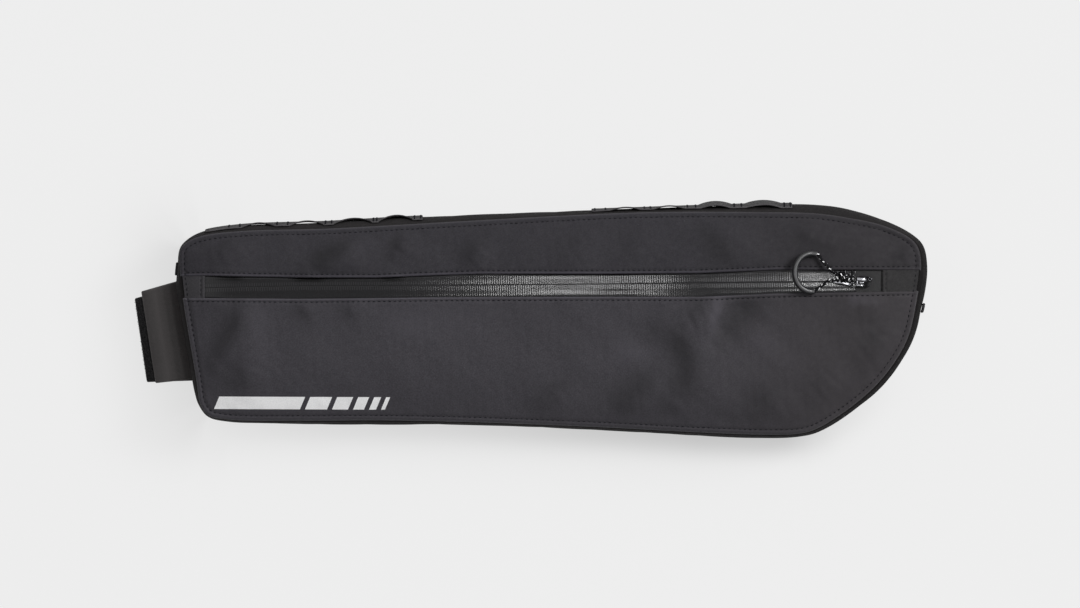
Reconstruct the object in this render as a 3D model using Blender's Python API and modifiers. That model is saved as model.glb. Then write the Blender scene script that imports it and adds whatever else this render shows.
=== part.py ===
"""Half-frame bicycle bag, lying on its back panel.

Frame: metres, +X towards the steering-head end of the bag, +Y towards the top
tube, +Z away from the back panel.  The origin is on the flat underside of the
back panel, under the middle of the whole outline.

The bag is a sewn box: a gusset band that runs right round, a back panel, and a
front face made of an upper and a lower panel with a coated zipper between
them.  The bound seam allowances lie inside, along the gusset's two seams.  A folded hook-and-loop strap stands out of the gusset at the seat-tube
end and two daisy-chain ribbons are tacked to the gusset's top side.
"""

import math

import bmesh
import bpy
import numpy as np
from mathutils import Matrix

MM = 0.001

# ---------------------------------------------------------------- sizes, in mm
FABRIC = 1.5            # coated pack cloth with its foam and lining
GUSSET_WALL = 1.6
GAP = 0.3               # clearance between sewn pieces
SEAM_TOP = 50.0         # top of the front panels at their outer seam
CROWN = 7.5             # rise of the filled front face above that seam
CROWN_REACH = 40.0      # how far in from the seam the face is still rising
BACK_RISE = 4.5         # height of the rolled-up edge of the back panel
BACK_ROLL = 18.0        # width of that rolled edge
BACK_INSET = 0.8        # back seam lies this far inside the front seam
STATIONS = 84           # sections round the gusset
CORNER_SHARE = 16.0     # how strongly stations gather in the corners

ZIP_LAP = 4.0           # how far zipper tape and garage run under the panels
TAPE = 1.2
TAPE_DROP = FABRIC + GAP
PATCH = 1.3
ZIP_LEFT_X, ZIP_RIGHT_X = -203.9, 203.1
GARAGE_RIGHT_X = 219.4

RIBBON = 1.0            # thickness of a daisy-chain ribbon
RIBBON_LOW, RIBBON_HIGH = 20.6, 39.4
ARCH = 1.8              # rise of a ribbon between two tacks

STRAP = 2.0             # one layer of hook-and-loop strap
SLIDER = (10.6, 6.4, 4.6)
SLIDER_AT = (207.6, 23.6)
TAB = (13.4, 3.6, 1.2)
TAB_AT = (194.6, 24.1)
TAB_TURN = -12.0        # degrees
KNOT = (14.0, 7.6, 5.4)
KNOT_AT = (194.8, 26.6)
CORD_D = 1.9
TUBE_D, TUBE_BORE = 3.6, 2.6
HOOP_AT = (175.3, 29.7)
HOOP_X, HOOP_Y = 10.4, 11.9         # half axes of the tube's centre line
HOOP_FROM, HOOP_TO = 74.0, 277.5    # degrees, upper end to lower end
HOOP_LIFT = 2.4         # how much higher the far side of the hoop stands

# Seam of the front face, anticlockwise from the top left corner: where the turned
# edge of the front panels runs, and how far the gusset bellies out beyond it.
OUTLINE = (
    # name                   x       y    belly
    ("seat_corner_side", -219.0,  44.4,  0.7),
    ("seat_side_high",   -219.6,  34.0,  1.3),
    ("zip_level",        -218.6,  22.5,  3.2),
    ("strap_top",        -217.1,  10.0,  3.2),
    ("strap_middle",     -213.6, -11.3,  3.0),
    ("strap_foot",       -209.9, -33.1,  2.8),
    ("below_strap",      -208.2, -44.6,  2.2),
    ("heel_side",        -206.9, -52.0,  1.2),
    ("heel_corner",      -201.6, -59.4,  1.0),
    ("heel_floor",       -189.0, -62.2,  1.3),
    ("bottom_a",         -142.8, -62.9,  1.8),
    ("bottom_b",          -95.0, -62.7,  2.1),
    ("bottom_c",          -38.1, -63.8,  1.2),
    ("bottom_d",           49.4, -67.3,  1.2),
    ("bottom_e",          104.4, -70.2,  1.5),
    ("bottom_f",          150.0, -71.7,  1.5),
    ("chin",              168.4, -70.9,  1.3),
    ("chin_corner",       178.6, -67.9,  1.8),
    ("slant_low",         200.2, -54.2,  2.6),
    ("slant_middle",      219.4, -36.6,  2.8),
    ("slant_high",        234.7, -13.0,  2.8),
    ("nose_low",          241.1,  12.5,  3.2),
    ("nose",              243.8,  34.0,  3.3),
    ("nose_corner",       242.0,  44.8,  3.2),
    ("nose_shoulder",     237.2,  50.8,  2.8),
    ("brow",              220.4,  58.9,  3.0),
    ("brow_high",         197.0,  64.0,  4.8),
    ("top_e",             177.4,  66.6,  4.6),
    ("top_d",             143.8,  67.4,  3.7),
    ("top_c",              68.1,  67.2,  2.4),
    ("top_b",             -39.4,  61.9,  3.7),
    ("top_ab",            -80.0,  59.6,  2.7),
    ("top_a",            -126.9,  57.1,  2.0),
    ("seat_corner_top",  -181.9,  55.5,  1.7),
    ("seat_corner",      -205.5,  52.6,  1.5),
    ("seat_corner_low",  -214.6,  48.9,  1.2),
)

# Section through the gusset's wall, front seam to back seam.
GUSSET_SECTION = (
    # name             inward  of_belly    z
    ("front_corner",      0.0,    0.0,   SEAM_TOP - TAPE_DROP),
    ("shoulder",          0.0,    0.62,  45.2),
    ("belly_high",        0.0,    1.0,   40.0),
    ("belly_low",         0.0,    1.0,   20.0),
    ("heel",              0.0,    0.62,  11.5),
    ("back_corner",       0.8,    0.0,   BACK_RISE + TAPE_DROP),
)

# The bound seam allowances that lie inside the bag along its two seams.
SEAM_BINDINGS = (
    # name            from    z from               to     z to
    ("binding_front",  1.9,   SEAM_TOP - TAPE_DROP, 7.0,  SEAM_TOP - TAPE_DROP),
    ("binding_back",   2.8,   5.5,                  7.8,  3.5),
)

# The zipper opening between the two front panels.
ZIP_OPENING = (
    #  x       upper   lower   middle
    (-240.0,   26.9,   13.7,   20.0),
    (-203.8,   27.5,   13.7,   20.0),
    (-144.4,   26.4,   13.3,   21.2),
    (-96.9,    26.3,   13.7,   21.4),
    (-63.0,    27.7,   14.2,   21.7),
    (-31.9,    28.6,   14.4,   21.9),
    (43.1,     28.6,   14.6,   22.5),
    (105.6,    29.1,   14.5,   23.2),
    (153.1,    31.2,   16.6,   23.7),
    (210.6,    31.1,   17.5,   24.1),
    (260.0,    31.1,   18.4,   24.4),
)

# Tacks of the two daisy-chain ribbons along the top side.
RIBBON_TACKS = {
    "daisy_strip_left": (
        # from     to
        (-188.8, -181.2),
        (-160.3, -151.2),
        (-129.4, -123.8),
        (-99.4, -95.6),
        (-73.8, -68.0),
    ),
    "daisy_strip_right": (
        (38.1, 47.5),
        (70.0, 75.6),
        (96.9, 103.8),
        (126.2, 132.5),
        (157.5, 163.1),
    ),
}

# The seat-tube strap: the corners of each layer, then its height from root to tip.
STRAP_CORNERS = {
    # layer           tip_top            tip_foot          root_top  root_foot
    "strap_upper": ((-243.6, 17.5), (-234.8, -39.0), 23.7, -36.6),
    "strap_lower": ((-246.8, 13.1), (-239.3, -38.4), 21.0, -37.4),
}
STRAP_SECTION = (
    # share_out  upper_z  lower_z
    (0.0,   24.0,   8.5),
    (0.2,   25.2,   8.7),
    (0.4,   24.8,   9.4),
    (0.6,   22.8,  11.2),
    (0.8,   19.4,  13.6),
    (0.92,  17.4,  14.5),
    (1.0,   16.6,  14.1),
)


# ------------------------------------------------------------------- outlines
def column(table, k):
    return np.array([row[k] for row in table], float)


def closed_curve(points, per_span=24):
    """A smooth closed line through the points (centripetal spline)."""
    p = np.asarray(points, float)
    n = len(p)
    out = []
    for i in range(n):
        a, b, c, d = p[i - 1], p[i], p[(i + 1) % n], p[(i + 2) % n]
        t0 = 0.0
        t1 = t0 + math.sqrt(np.linalg.norm((b - a)[:2]))
        t2 = t1 + math.sqrt(np.linalg.norm((c - b)[:2]))
        t3 = t2 + math.sqrt(np.linalg.norm((d - c)[:2]))
        for t in np.linspace(t1, t2, per_span, endpoint=False):
            ab = (t1 - t) / (t1 - t0) * a + (t - t0) / (t1 - t0) * b
            bc = (t2 - t) / (t2 - t1) * b + (t - t1) / (t2 - t1) * c
            cd = (t3 - t) / (t3 - t2) * c + (t - t2) / (t3 - t2) * d
            abc = (t2 - t) / (t2 - t0) * ab + (t - t0) / (t2 - t0) * bc
            bcd = (t3 - t) / (t3 - t1) * bc + (t - t1) / (t3 - t1) * cd
            out.append((t2 - t) / (t2 - t1) * abc + (t - t1) / (t2 - t1) * bcd)
    return np.array(out)


def spread_stations(line, count):
    """Stations along a closed line, closer together where it turns."""
    nxt = np.roll(line, -1, axis=0)
    step = nxt[:, :2] - line[:, :2]
    length = np.linalg.norm(step, axis=1)
    heading = np.unwrap(np.arctan2(step[:, 1], step[:, 0]))
    turn = np.abs(np.diff(np.append(heading, heading[0] + 2 * math.pi)))
    turn = np.convolve(np.tile(turn, 3), np.ones(9) / 9, "same")[len(turn):2 * len(turn)]
    weight = length + CORNER_SHARE * turn
    reach = np.concatenate([[0.0], np.cumsum(weight)])
    wanted = np.linspace(0.0, reach[-1], count, endpoint=False)
    ring = np.vstack([line, line[:1]])
    return np.column_stack(
        [np.interp(wanted, reach, ring[:, k]) for k in range(line.shape[1])]
    )


def normals_of(ring):
    """Outward unit normals of an anticlockwise ring."""
    along = np.roll(ring[:, :2], -1, axis=0) - np.roll(ring[:, :2], 1, axis=0)
    out = np.column_stack([along[:, 1], -along[:, 0]])
    return out / np.linalg.norm(out, axis=1)[:, None]


def towards_spine(ring, distance):
    """The ring moved in towards the bag's long middle line."""
    x = np.clip(ring[:, 0], -160.0, 172.0)
    spine = np.column_stack([x, np.interp(x, (-160.0, 172.0), (-3.0, 3.0))])
    way = spine - ring[:, :2]
    way /= np.linalg.norm(way, axis=1)[:, None]
    return ring[:, :2] + way * distance


SEAM_LINE = closed_curve(np.column_stack([column(OUTLINE, k) for k in (1, 2, 3)]))
STATION = spread_stations(SEAM_LINE, STATIONS)
OUTWARD = normals_of(STATION)


def crossings(ring, at, axis):
    """Lowest and highest crossing of a ring with the line where its axis is at."""
    a, b = ring[:, :2], np.roll(ring[:, :2], -1, axis=0)
    low, high = np.minimum(a[:, axis], b[:, axis]), np.maximum(a[:, axis], b[:, axis])
    hit = (low <= at) & (at <= high) & (high - low > 1e-9)
    if not hit.any():
        return 0.0, 0.0
    t = (at - a[hit, axis]) / (b[hit, axis] - a[hit, axis])
    other = a[hit, 1 - axis] + t * (b[hit, 1 - axis] - a[hit, 1 - axis])
    return other.min(), other.max()


def gusset_ring(z):
    """Outline of the gusset's outer face at a height between its two corners."""
    rows = GUSSET_SECTION[::-1]
    heights = [row[3] for row in rows]
    share = np.interp(z, heights, [row[2] for row in rows])
    inward = np.interp(z, heights, [row[1] for row in rows])
    return STATION[:, :2] + OUTWARD * (share * STATION[:, 2] - inward)[:, None]


def rise(distance):
    t = np.clip(distance / CROWN_REACH, 0.0, 1.0)
    return 1.0 - (1.0 - t) ** 2


def face_height(x, y):
    """Top of the filled front face over a point."""
    floor, top = crossings(SEAM_LINE, min(max(x, -219.0), 243.2), 0)
    left, right = crossings(SEAM_LINE, min(max(y, -71.0), 66.9), 1)
    share = rise(top - y) * rise(y - floor) * rise(x - left) * rise(right - x)
    return SEAM_TOP + CROWN * share


def zip_edge(x, which):
    return np.interp(x, column(ZIP_OPENING, 0), column(ZIP_OPENING, which))


# ------------------------------------------------------------------- builders
def clear_scene():
    for old in list(bpy.data.objects):
        bpy.data.objects.remove(old, do_unlink=True)


def material(name, colour, roughness, metallic=0.0):
    made = bpy.data.materials.new(name)
    made.use_nodes = True
    shader = made.node_tree.nodes["Principled BSDF"]
    shader.inputs["Base Color"].default_value = (*colour, 1.0)
    shader.inputs["Roughness"].default_value = roughness
    shader.inputs["Metallic"].default_value = metallic
    made.diffuse_color = (*colour, 1.0)
    return made


def add_object(name, bm, finish, smooth_angle=40.0):
    mesh = bpy.data.meshes.new(name)
    bmesh.ops.recalc_face_normals(bm, faces=bm.faces[:])
    bm.to_mesh(mesh)
    bm.free()
    mesh.materials.append(finish)
    mesh.shade_smooth()
    mesh.set_sharp_from_angle(angle=math.radians(smooth_angle))
    made = bpy.data.objects.new(name, mesh)
    BAG.objects.link(made)
    return made


def grid_faces(bm, grid):
    """Quads over rows of points, given in mm; the points are kept in metres."""
    rows = [[bm.verts.new([c * MM for c in p]) for p in row] for row in grid]
    for lower, upper in zip(rows, rows[1:]):
        for i in range(len(lower) - 1):
            bm.faces.new((lower[i], lower[i + 1], upper[i + 1], upper[i]))
    return rows


def cloth_plate(name, grid, thickness, finish):
    """A piece of cloth: its top face as rows of points, dropped by its thickness."""
    bm = bmesh.new()
    grid_faces(bm, grid)
    under = bmesh.ops.extrude_face_region(bm, geom=bm.faces[:])
    moved = [v for v in under["geom"] if isinstance(v, bmesh.types.BMVert)]
    bmesh.ops.translate(bm, verts=moved, vec=(0.0, 0.0, -thickness * MM))
    return add_object(name, bm, finish)


def band_between(edge_a, edge_b, rows):
    """Rows of plan points from one edge line to another of equal count."""
    return [
        [(a[0] + (b[0] - a[0]) * t, a[1] + (b[1] - a[1]) * t) for a, b in zip(edge_a, edge_b)]
        for t in np.linspace(0.0, 1.0, rows)
    ]


def on_face(rows, drop=0.0):
    return [[(x, y, face_height(x, y) - drop) for x, y in row] for row in rows]


def seam_arc(upper, count):
    """The seam from the left end of the zipper to its right end, over or under it."""
    edge = 1 if upper else 2
    ring = SEAM_LINE[:, :2]
    middle_left = (-218.6, float(zip_edge(-218.6, edge)))
    middle_right = (243.0, float(zip_edge(243.0, edge)))
    start = int(np.argmin(np.hypot(*(ring - middle_left).T)))
    stop = int(np.argmin(np.hypot(*(ring - middle_right).T)))
    n = len(ring)
    if upper:
        index = [(start - k) % n for k in range((start - stop) % n + 1)]
    else:
        index = [(start + k) % n for k in range((stop - start) % n + 1)]
    line = ring[index].copy()
    line[0, 1], line[-1, 1] = middle_left[1], middle_right[1]
    step = np.hypot(*np.diff(line, axis=0).T)
    heading = np.arctan2(*np.diff(line, axis=0).T[::-1])
    turn = np.abs(np.diff(np.unwrap(heading), prepend=heading[0]))
    reach = np.concatenate([[0.0], np.cumsum(step + 10.0 * turn)])
    wanted = np.linspace(0.0, reach[-1], count)
    return np.column_stack([np.interp(wanted, reach, line[:, k]) for k in (0, 1)])


# --------------------------------------------------------------------- pieces
def ring_band(name, rings, finish):
    """A closed band of cloth through rings of points, its thickness on the inside."""
    bm = bmesh.new()
    rings = [[bm.verts.new([c * MM for c in p]) for p in ring] for ring in rings]
    for upper, lower in zip(rings, rings[1:]):
        for i in range(STATIONS):
            j = (i + 1) % STATIONS
            bm.faces.new((upper[j], upper[i], lower[i], lower[j]))
    # Faces of this open band point outwards before the wall is given its thickness.
    mesh = bpy.data.meshes.new(name)
    bm.to_mesh(mesh)
    bm.free()
    mesh.materials.append(finish)
    mesh.shade_smooth()
    mesh.set_sharp_from_angle(angle=math.radians(50.0))
    made = bpy.data.objects.new(name, mesh)
    BAG.objects.link(made)
    wall = made.modifiers.new("wall", "SOLIDIFY")
    wall.thickness = GUSSET_WALL * MM
    wall.offset = -1.0
    wall.use_even_offset = True
    wall.use_rim = True
    return made


def build_gusset(finish):
    rings = []
    for name, inward, share, z in GUSSET_SECTION:
        plan = STATION[:, :2] + OUTWARD * (share * STATION[:, 2])[:, None]
        if inward:
            plan = towards_spine(np.column_stack([plan, STATION[:, 2]]), inward)
        rings.append([(x, y, z) for x, y in plan])
    return ring_band("gusset", rings, finish)


def build_bindings(finish):
    for name, inner, z_inner, outer, z_outer in SEAM_BINDINGS:
        rings = [
            [(x, y, z) for x, y in towards_spine(STATION, inward)]
            for inward, z in ((inner, z_inner), (outer, z_outer))
        ]
        ring_band(name, rings[::-1] if name == "binding_front" else rings, finish)


def build_back_panel(finish):
    """Flat where it lies, rolled up to the back seam round its edge."""
    bm = bmesh.new()
    edge = STATION[:, :2] - OUTWARD * BACK_INSET
    rings = []
    for inward in (0.0, 5.0, 11.0, BACK_ROLL):
        plan = edge if inward == 0.0 else towards_spine(edge, inward)
        z = BACK_RISE * (1.0 - inward / BACK_ROLL) ** 2
        rings.append([bm.verts.new((x * MM, y * MM, z * MM)) for x, y in plan])
    for outer, inner in zip(rings, rings[1:]):
        for i in range(STATIONS):
            j = (i + 1) % STATIONS
            bm.faces.new((outer[i], outer[j], inner[j], inner[i]))
    bm.faces.new(rings[-1])
    over = bmesh.ops.extrude_face_region(bm, geom=bm.faces[:])
    moved = [v for v in over["geom"] if isinstance(v, bmesh.types.BMVert)]
    bmesh.ops.translate(bm, verts=moved, vec=(0.0, 0.0, FABRIC * MM))
    return add_object("back_panel", bm, finish)


def build_front_panel(name, upper, columns, rows, finish):
    arc = seam_arc(upper, columns)
    edge = 1 if upper else 2
    share = np.linspace(0.0, 1.0, columns)
    zip_x = arc[0, 0] + (arc[-1, 0] - arc[0, 0]) * share
    zip_line = np.column_stack([zip_x, zip_edge(zip_x, edge)])
    # Both end columns are short: the zipper line and the seam meet at the ends.
    zip_line[0, 0] += 0.6
    zip_line[-1, 0] -= 0.6
    grid = on_face(band_between(zip_line, arc, rows))
    return cloth_plate(name, grid, FABRIC, finish)


def plain_strip(name, x0, x1, low, high, drop, thickness, columns, rows, finish):
    """A strip of the zipper between two lines given as functions of x."""
    xs = np.linspace(x0, x1, columns)
    grid = band_between(
        [(x, low(x)) for x in xs], [(x, high(x)) for x in xs], rows
    )
    return cloth_plate(name, on_face(grid, drop), thickness, finish)


def build_end_patch(name, left_side, inner_x, finish):
    """The fabric patch that closes one end of the zipper opening."""
    def across(x, share):
        low, high = float(zip_edge(x, 2)) + GAP, float(zip_edge(x, 1)) - GAP
        return low + (high - low) * share

    grid = []
    for share in np.linspace(0.0, 1.0, 4):
        left, right = crossings(SEAM_LINE, across(inner_x, share), 1)
        outer = left if left_side else right
        ends = (outer, inner_x) if left_side else (inner_x, outer)
        grid.append([(x, across(x, share)) for x in np.linspace(*ends, 4)])
    return cloth_plate(name, on_face(grid, 0.2), PATCH, finish)


def build_ribbon(name, finish):
    """A daisy-chain ribbon: flat at its tacks, arched between them."""
    tacks = RIBBON_TACKS[name]
    stations = []
    for k, (x0, x1) in enumerate(tacks):
        stations += [(x0, 0.0), (x1, 0.0)]
        if k + 1 < len(tacks):
            x2 = tacks[k + 1][0]
            for share in (0.1, 0.3, 0.5, 0.7, 0.9):
                height = ARCH * (1.0 - abs(2.0 * share - 1.0) ** 3)
                stations.append((x1 + (x2 - x1) * share, height))
    ring = gusset_ring(30.0)
    bm = bmesh.new()
    grid = []
    for z in (RIBBON_LOW, 30.0, RIBBON_HIGH):
        grid.append(
            [(x, crossings(ring, x, 0)[1] + GAP + lift, z) for x, lift in stations]
        )
    grid_faces(bm, grid)
    out = bmesh.ops.extrude_face_region(bm, geom=bm.faces[:])
    moved = [v for v in out["geom"] if isinstance(v, bmesh.types.BMVert)]
    bmesh.ops.translate(bm, verts=moved, vec=(0.0, RIBBON * MM, 0.0))
    return add_object(name, bm, finish)


def build_strap_layer(name, finish):
    tip_top, tip_foot, root_top, root_foot = STRAP_CORNERS[name]
    height = 1 if name == "strap_upper" else 2
    top = STRAP_SECTION[0][height]
    walls = [gusset_ring(z) for z in (top, top - STRAP / 2, top - STRAP)]
    grid = []
    for share_out, *heights in STRAP_SECTION:
        row = []
        for across in np.linspace(0.0, 1.0, 7):
            root_y = root_foot + (root_top - root_foot) * across
            root_x = min(crossings(ring, root_y, 1)[0] for ring in walls) - GAP
            tip = [f + (t - f) * across for f, t in zip(tip_foot, tip_top)]
            row.append(
                (
                    root_x + (tip[0] - root_x) * share_out,
                    root_y + (tip[1] - root_y) * share_out,
                    heights[height - 1],
                )
            )
        grid.append(row)
    return cloth_plate(name, grid, STRAP, finish)


def rounded_block(name, size, at, z, turn, bevel, finish):
    bpy.ops.mesh.primitive_cube_add(size=1.0)
    made = bpy.context.active_object
    made.name = made.data.name = name
    made.data.transform(Matrix.Diagonal((*[s * MM for s in size], 1.0)))
    made.location = (at[0] * MM, at[1] * MM, z * MM)
    made.rotation_euler = (0.0, 0.0, math.radians(turn))
    for holder in list(made.users_collection):
        holder.objects.unlink(made)
    BAG.objects.link(made)
    round_edges = made.modifiers.new("round_edges", "BEVEL")
    round_edges.width = bevel * MM
    round_edges.segments = 3
    round_edges.limit_method = "ANGLE"
    made.data.materials.append(finish)
    made.data.shade_smooth()
    return made


def build_knot(finish, z):
    bm = bmesh.new()
    bmesh.ops.create_uvsphere(bm, u_segments=14, v_segments=8, radius=0.5)
    for v in bm.verts:
        lump = 1.0 + 0.06 * math.cos(4.0 * math.atan2(v.co.y, v.co.x))
        v.co = (
            v.co.x * KNOT[0] * MM * lump,
            v.co.y * KNOT[1] * MM * lump,
            v.co.z * KNOT[2] * MM,
        )
    made = add_object("pull_knot", bm, finish, 60.0)
    made.location = (KNOT_AT[0] * MM, KNOT_AT[1] * MM, (z + KNOT[2] / 2) * MM)
    return made


def hoop_point(degrees, z):
    a = math.radians(degrees)
    return (
        HOOP_AT[0] + HOOP_X * math.cos(a),
        HOOP_AT[1] + HOOP_Y * math.sin(a),
        z + HOOP_LIFT * max(0.0, -math.cos(a)),
    )


def poly_curve(name, points, radius, caps):
    curve = bpy.data.curves.new(name, "CURVE")
    curve.dimensions = "3D"
    curve.bevel_depth = radius * MM
    curve.bevel_resolution = 2
    curve.use_fill_caps = caps
    spline = curve.splines.new("POLY")
    spline.points.add(len(points) - 1)
    for point, place in zip(spline.points, points):
        point.co = (*[c * MM for c in place], 1.0)
    spline.use_smooth = True
    return curve


def open_route(points, spacing):
    """Points at an even spacing along a smooth open line through the given ones."""
    p = np.asarray(points, float)
    p = np.vstack([2 * p[0] - p[1], p, 2 * p[-1] - p[-2]])
    fine = []
    for i in range(1, len(p) - 2):
        a, b, c, d = p[i - 1], p[i], p[i + 1], p[i + 2]
        for t in np.linspace(0.0, 1.0, 16, endpoint=False):
            fine.append(
                0.5
                * (
                    2 * b
                    + (c - a) * t
                    + (2 * a - 5 * b + 4 * c - d) * t**2
                    + (3 * b - a - 3 * c + d) * t**3
                )
            )
    fine.append(p[-2])
    fine = np.array(fine)
    reach = np.concatenate([[0.0], np.cumsum(np.linalg.norm(np.diff(fine, axis=0), axis=1))])
    wanted = np.linspace(0.0, reach[-1], int(round(reach[-1] / spacing)) + 1)
    return np.column_stack([np.interp(wanted, reach, fine[:, k]) for k in range(3)])


def cord_route():
    """Out of the knot, round through the tube, and back to the knot."""
    hoop_z = HOOP_Z
    leg_z = KNOT_Z + KNOT[2] * 0.5
    points = [
        (188.6, 29.7, leg_z + 0.3),
        (186.2, 32.4, leg_z + 0.8),
        (182.2, 36.5, hoop_z + 0.2),
        (180.0, 40.2, hoop_z),
    ]
    for degrees in np.linspace(HOOP_FROM + 2.0, HOOP_TO - 2.0, 15):
        points.append(hoop_point(degrees, hoop_z))
    points += [
        (179.4, 19.7, hoop_z),
        (183.4, 22.7, hoop_z - 0.2),
        (186.7, 25.0, leg_z + 0.1),
    ]
    return open_route(points, 2.4)


def build_pull_cord(finish):
    curve = poly_curve("pull_cord", cord_route(), CORD_D / 2, True)
    curve.materials.append(finish)
    made = bpy.data.objects.new("pull_cord", curve)
    BAG.objects.link(made)
    return made


def build_pull_tube(finish):
    """A rubber sleeve bent round the cord: an open tube, then its wall inwards."""
    points = [
        hoop_point(d, HOOP_Z) for d in np.linspace(HOOP_FROM, HOOP_TO, 22)
    ]
    curve = poly_curve("pull_tube_line", points, TUBE_D / 2, False)
    guide = bpy.data.objects.new("pull_tube_line", curve)
    BAG.objects.link(guide)
    bpy.context.view_layer.update()
    graph = bpy.context.evaluated_depsgraph_get()
    mesh = bpy.data.meshes.new_from_object(guide.evaluated_get(graph))
    bpy.data.objects.remove(guide, do_unlink=True)
    mesh.name = "pull_tube"
    made = bpy.data.objects.new("pull_tube", mesh)
    BAG.objects.link(made)
    mesh.materials.clear()
    mesh.materials.append(finish)
    wall = made.modifiers.new("wall", "SOLIDIFY")
    wall.thickness = (TUBE_D - TUBE_BORE) / 2 * MM
    wall.offset = -1.0
    wall.use_rim = True
    return made


def build_side_tab(name, left_side, y, width, z_low, z_high, thickness, bevel, finish):
    ring = gusset_ring(30.0)
    edge = [crossings(ring, y + s * width / 2, 1) for s in (-1, 0, 1)]
    if left_side:
        x = min(e[0] for e in edge) - GAP - thickness / 2
    else:
        x = max(e[1] for e in edge) + GAP + thickness / 2
    return rounded_block(
        name, (thickness, width, z_high - z_low), (x, y), (z_low + z_high) / 2,
        0.0, bevel, finish,
    )


# ---------------------------------------------------------------------- build
clear_scene()
BAG = bpy.data.collections.new("bicycle_frame_bag")
bpy.context.scene.collection.children.link(BAG)

CLOTH = material("pack_cloth", (0.047, 0.045, 0.052), 0.78)
SIDE_CLOTH = material("gusset_cloth", (0.038, 0.037, 0.041), 0.7)
COATED = material("coated_zip_tape", (0.05, 0.05, 0.055), 0.28)
WEBBING = material("ribbon_webbing", (0.036, 0.036, 0.039), 0.75)
HOOK = material("hook_and_loop", (0.034, 0.034, 0.036), 0.85)
METAL = material("gunmetal", (0.16, 0.16, 0.17), 0.22, 1.0)
RUBBER = material("rubber", (0.03, 0.03, 0.033), 0.5)
CORD = material("flecked_cord", (0.05, 0.05, 0.055), 0.7)

build_gusset(SIDE_CLOTH)
build_bindings(SIDE_CLOTH)
build_back_panel(SIDE_CLOTH)
build_front_panel("panel_front_upper", True, 58, 5, CLOTH)
build_front_panel("panel_front_lower", False, 62, 8, CLOTH)

plain_strip(
    "zip_tape_upper", ZIP_LEFT_X - ZIP_LAP, ZIP_RIGHT_X - GAP / 2,
    lambda x: float(zip_edge(x, 3)) + GAP / 2,
    lambda x: float(zip_edge(x, 1)) + ZIP_LAP,
    TAPE_DROP, TAPE, 36, 3, COATED,
)
plain_strip(
    "zip_tape_lower", ZIP_LEFT_X - ZIP_LAP, ZIP_RIGHT_X - GAP / 2,
    lambda x: float(zip_edge(x, 2)) - ZIP_LAP,
    lambda x: float(zip_edge(x, 3)) - GAP / 2,
    TAPE_DROP, TAPE, 36, 3, COATED,
)
plain_strip(
    "zip_garage", ZIP_RIGHT_X + GAP / 2, GARAGE_RIGHT_X + ZIP_LAP,
    lambda x: float(zip_edge(x, 2)) - ZIP_LAP,
    lambda x: float(zip_edge(x, 1)) + ZIP_LAP,
    TAPE_DROP, TAPE, 5, 4, SIDE_CLOTH,
)
build_end_patch("zip_patch_left", True, ZIP_LEFT_X, CLOTH)
build_end_patch("zip_patch_right", False, GARAGE_RIGHT_X, CLOTH)

build_ribbon("daisy_strip_left", WEBBING)
build_ribbon("daisy_strip_right", WEBBING)
build_strap_layer("strap_upper", HOOK)
build_strap_layer("strap_lower", HOOK)
build_side_tab("tab_left", True, 32.0, 7.5, 23.0, 37.0, 1.2, 0.3, WEBBING)
build_side_tab("tab_right", False, 7.5, 5.2, 24.0, 36.0, 1.5, 0.5, WEBBING)

TAPE_Z = face_height(*TAB_AT) - TAPE_DROP
TAB_Z = TAPE_Z + 0.4
KNOT_Z = TAB_Z + TAB[2] + GAP
HOOP_Z = max(
    face_height(hoop_point(d, 0.0)[0], hoop_point(d, 0.0)[1])
    for d in np.linspace(HOOP_FROM, HOOP_TO, 22)
) + GAP + TUBE_D / 2

rounded_block(
    "zip_slider", SLIDER, SLIDER_AT, TAPE_Z + GAP + 0.1 + SLIDER[2] / 2, -3.0, 1.5, METAL
)
rounded_block("zip_pull_tab", TAB, TAB_AT, TAB_Z + TAB[2] / 2, TAB_TURN, 0.4, METAL)
build_knot(CORD, KNOT_Z)
build_pull_cord(CORD)
build_pull_tube(RUBBER)
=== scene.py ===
"""Looks of the half-frame bicycle bag: cloth with its folds and topstitching, coated
zipper, metal slider with its corded pull, daisy-chain ribbons and seat-tube strap.

Lengths are in millimetres in the tables and functions and become metres in the
meshes.  +X runs along the bag to its steering-head end, +Y to the top tube, +Z up
out of the zipped face towards the camera.
"""

import math

import bpy
import numpy as np
from mathutils import Matrix, Vector


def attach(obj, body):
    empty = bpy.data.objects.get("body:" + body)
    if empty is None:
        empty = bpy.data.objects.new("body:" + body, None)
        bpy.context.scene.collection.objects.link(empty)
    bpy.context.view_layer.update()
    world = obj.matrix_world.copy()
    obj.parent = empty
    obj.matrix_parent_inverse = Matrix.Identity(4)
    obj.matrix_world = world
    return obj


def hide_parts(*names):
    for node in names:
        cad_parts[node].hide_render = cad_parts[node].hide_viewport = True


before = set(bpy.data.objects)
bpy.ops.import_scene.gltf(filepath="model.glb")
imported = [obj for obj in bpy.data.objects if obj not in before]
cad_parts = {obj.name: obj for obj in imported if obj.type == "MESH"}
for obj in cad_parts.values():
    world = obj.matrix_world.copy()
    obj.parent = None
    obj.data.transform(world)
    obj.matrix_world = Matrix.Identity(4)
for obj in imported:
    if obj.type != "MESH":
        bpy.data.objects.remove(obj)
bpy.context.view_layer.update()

MM = 0.001
SCALE = 0.625                       # millimetres for one point of the 1080 x 608 view


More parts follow.
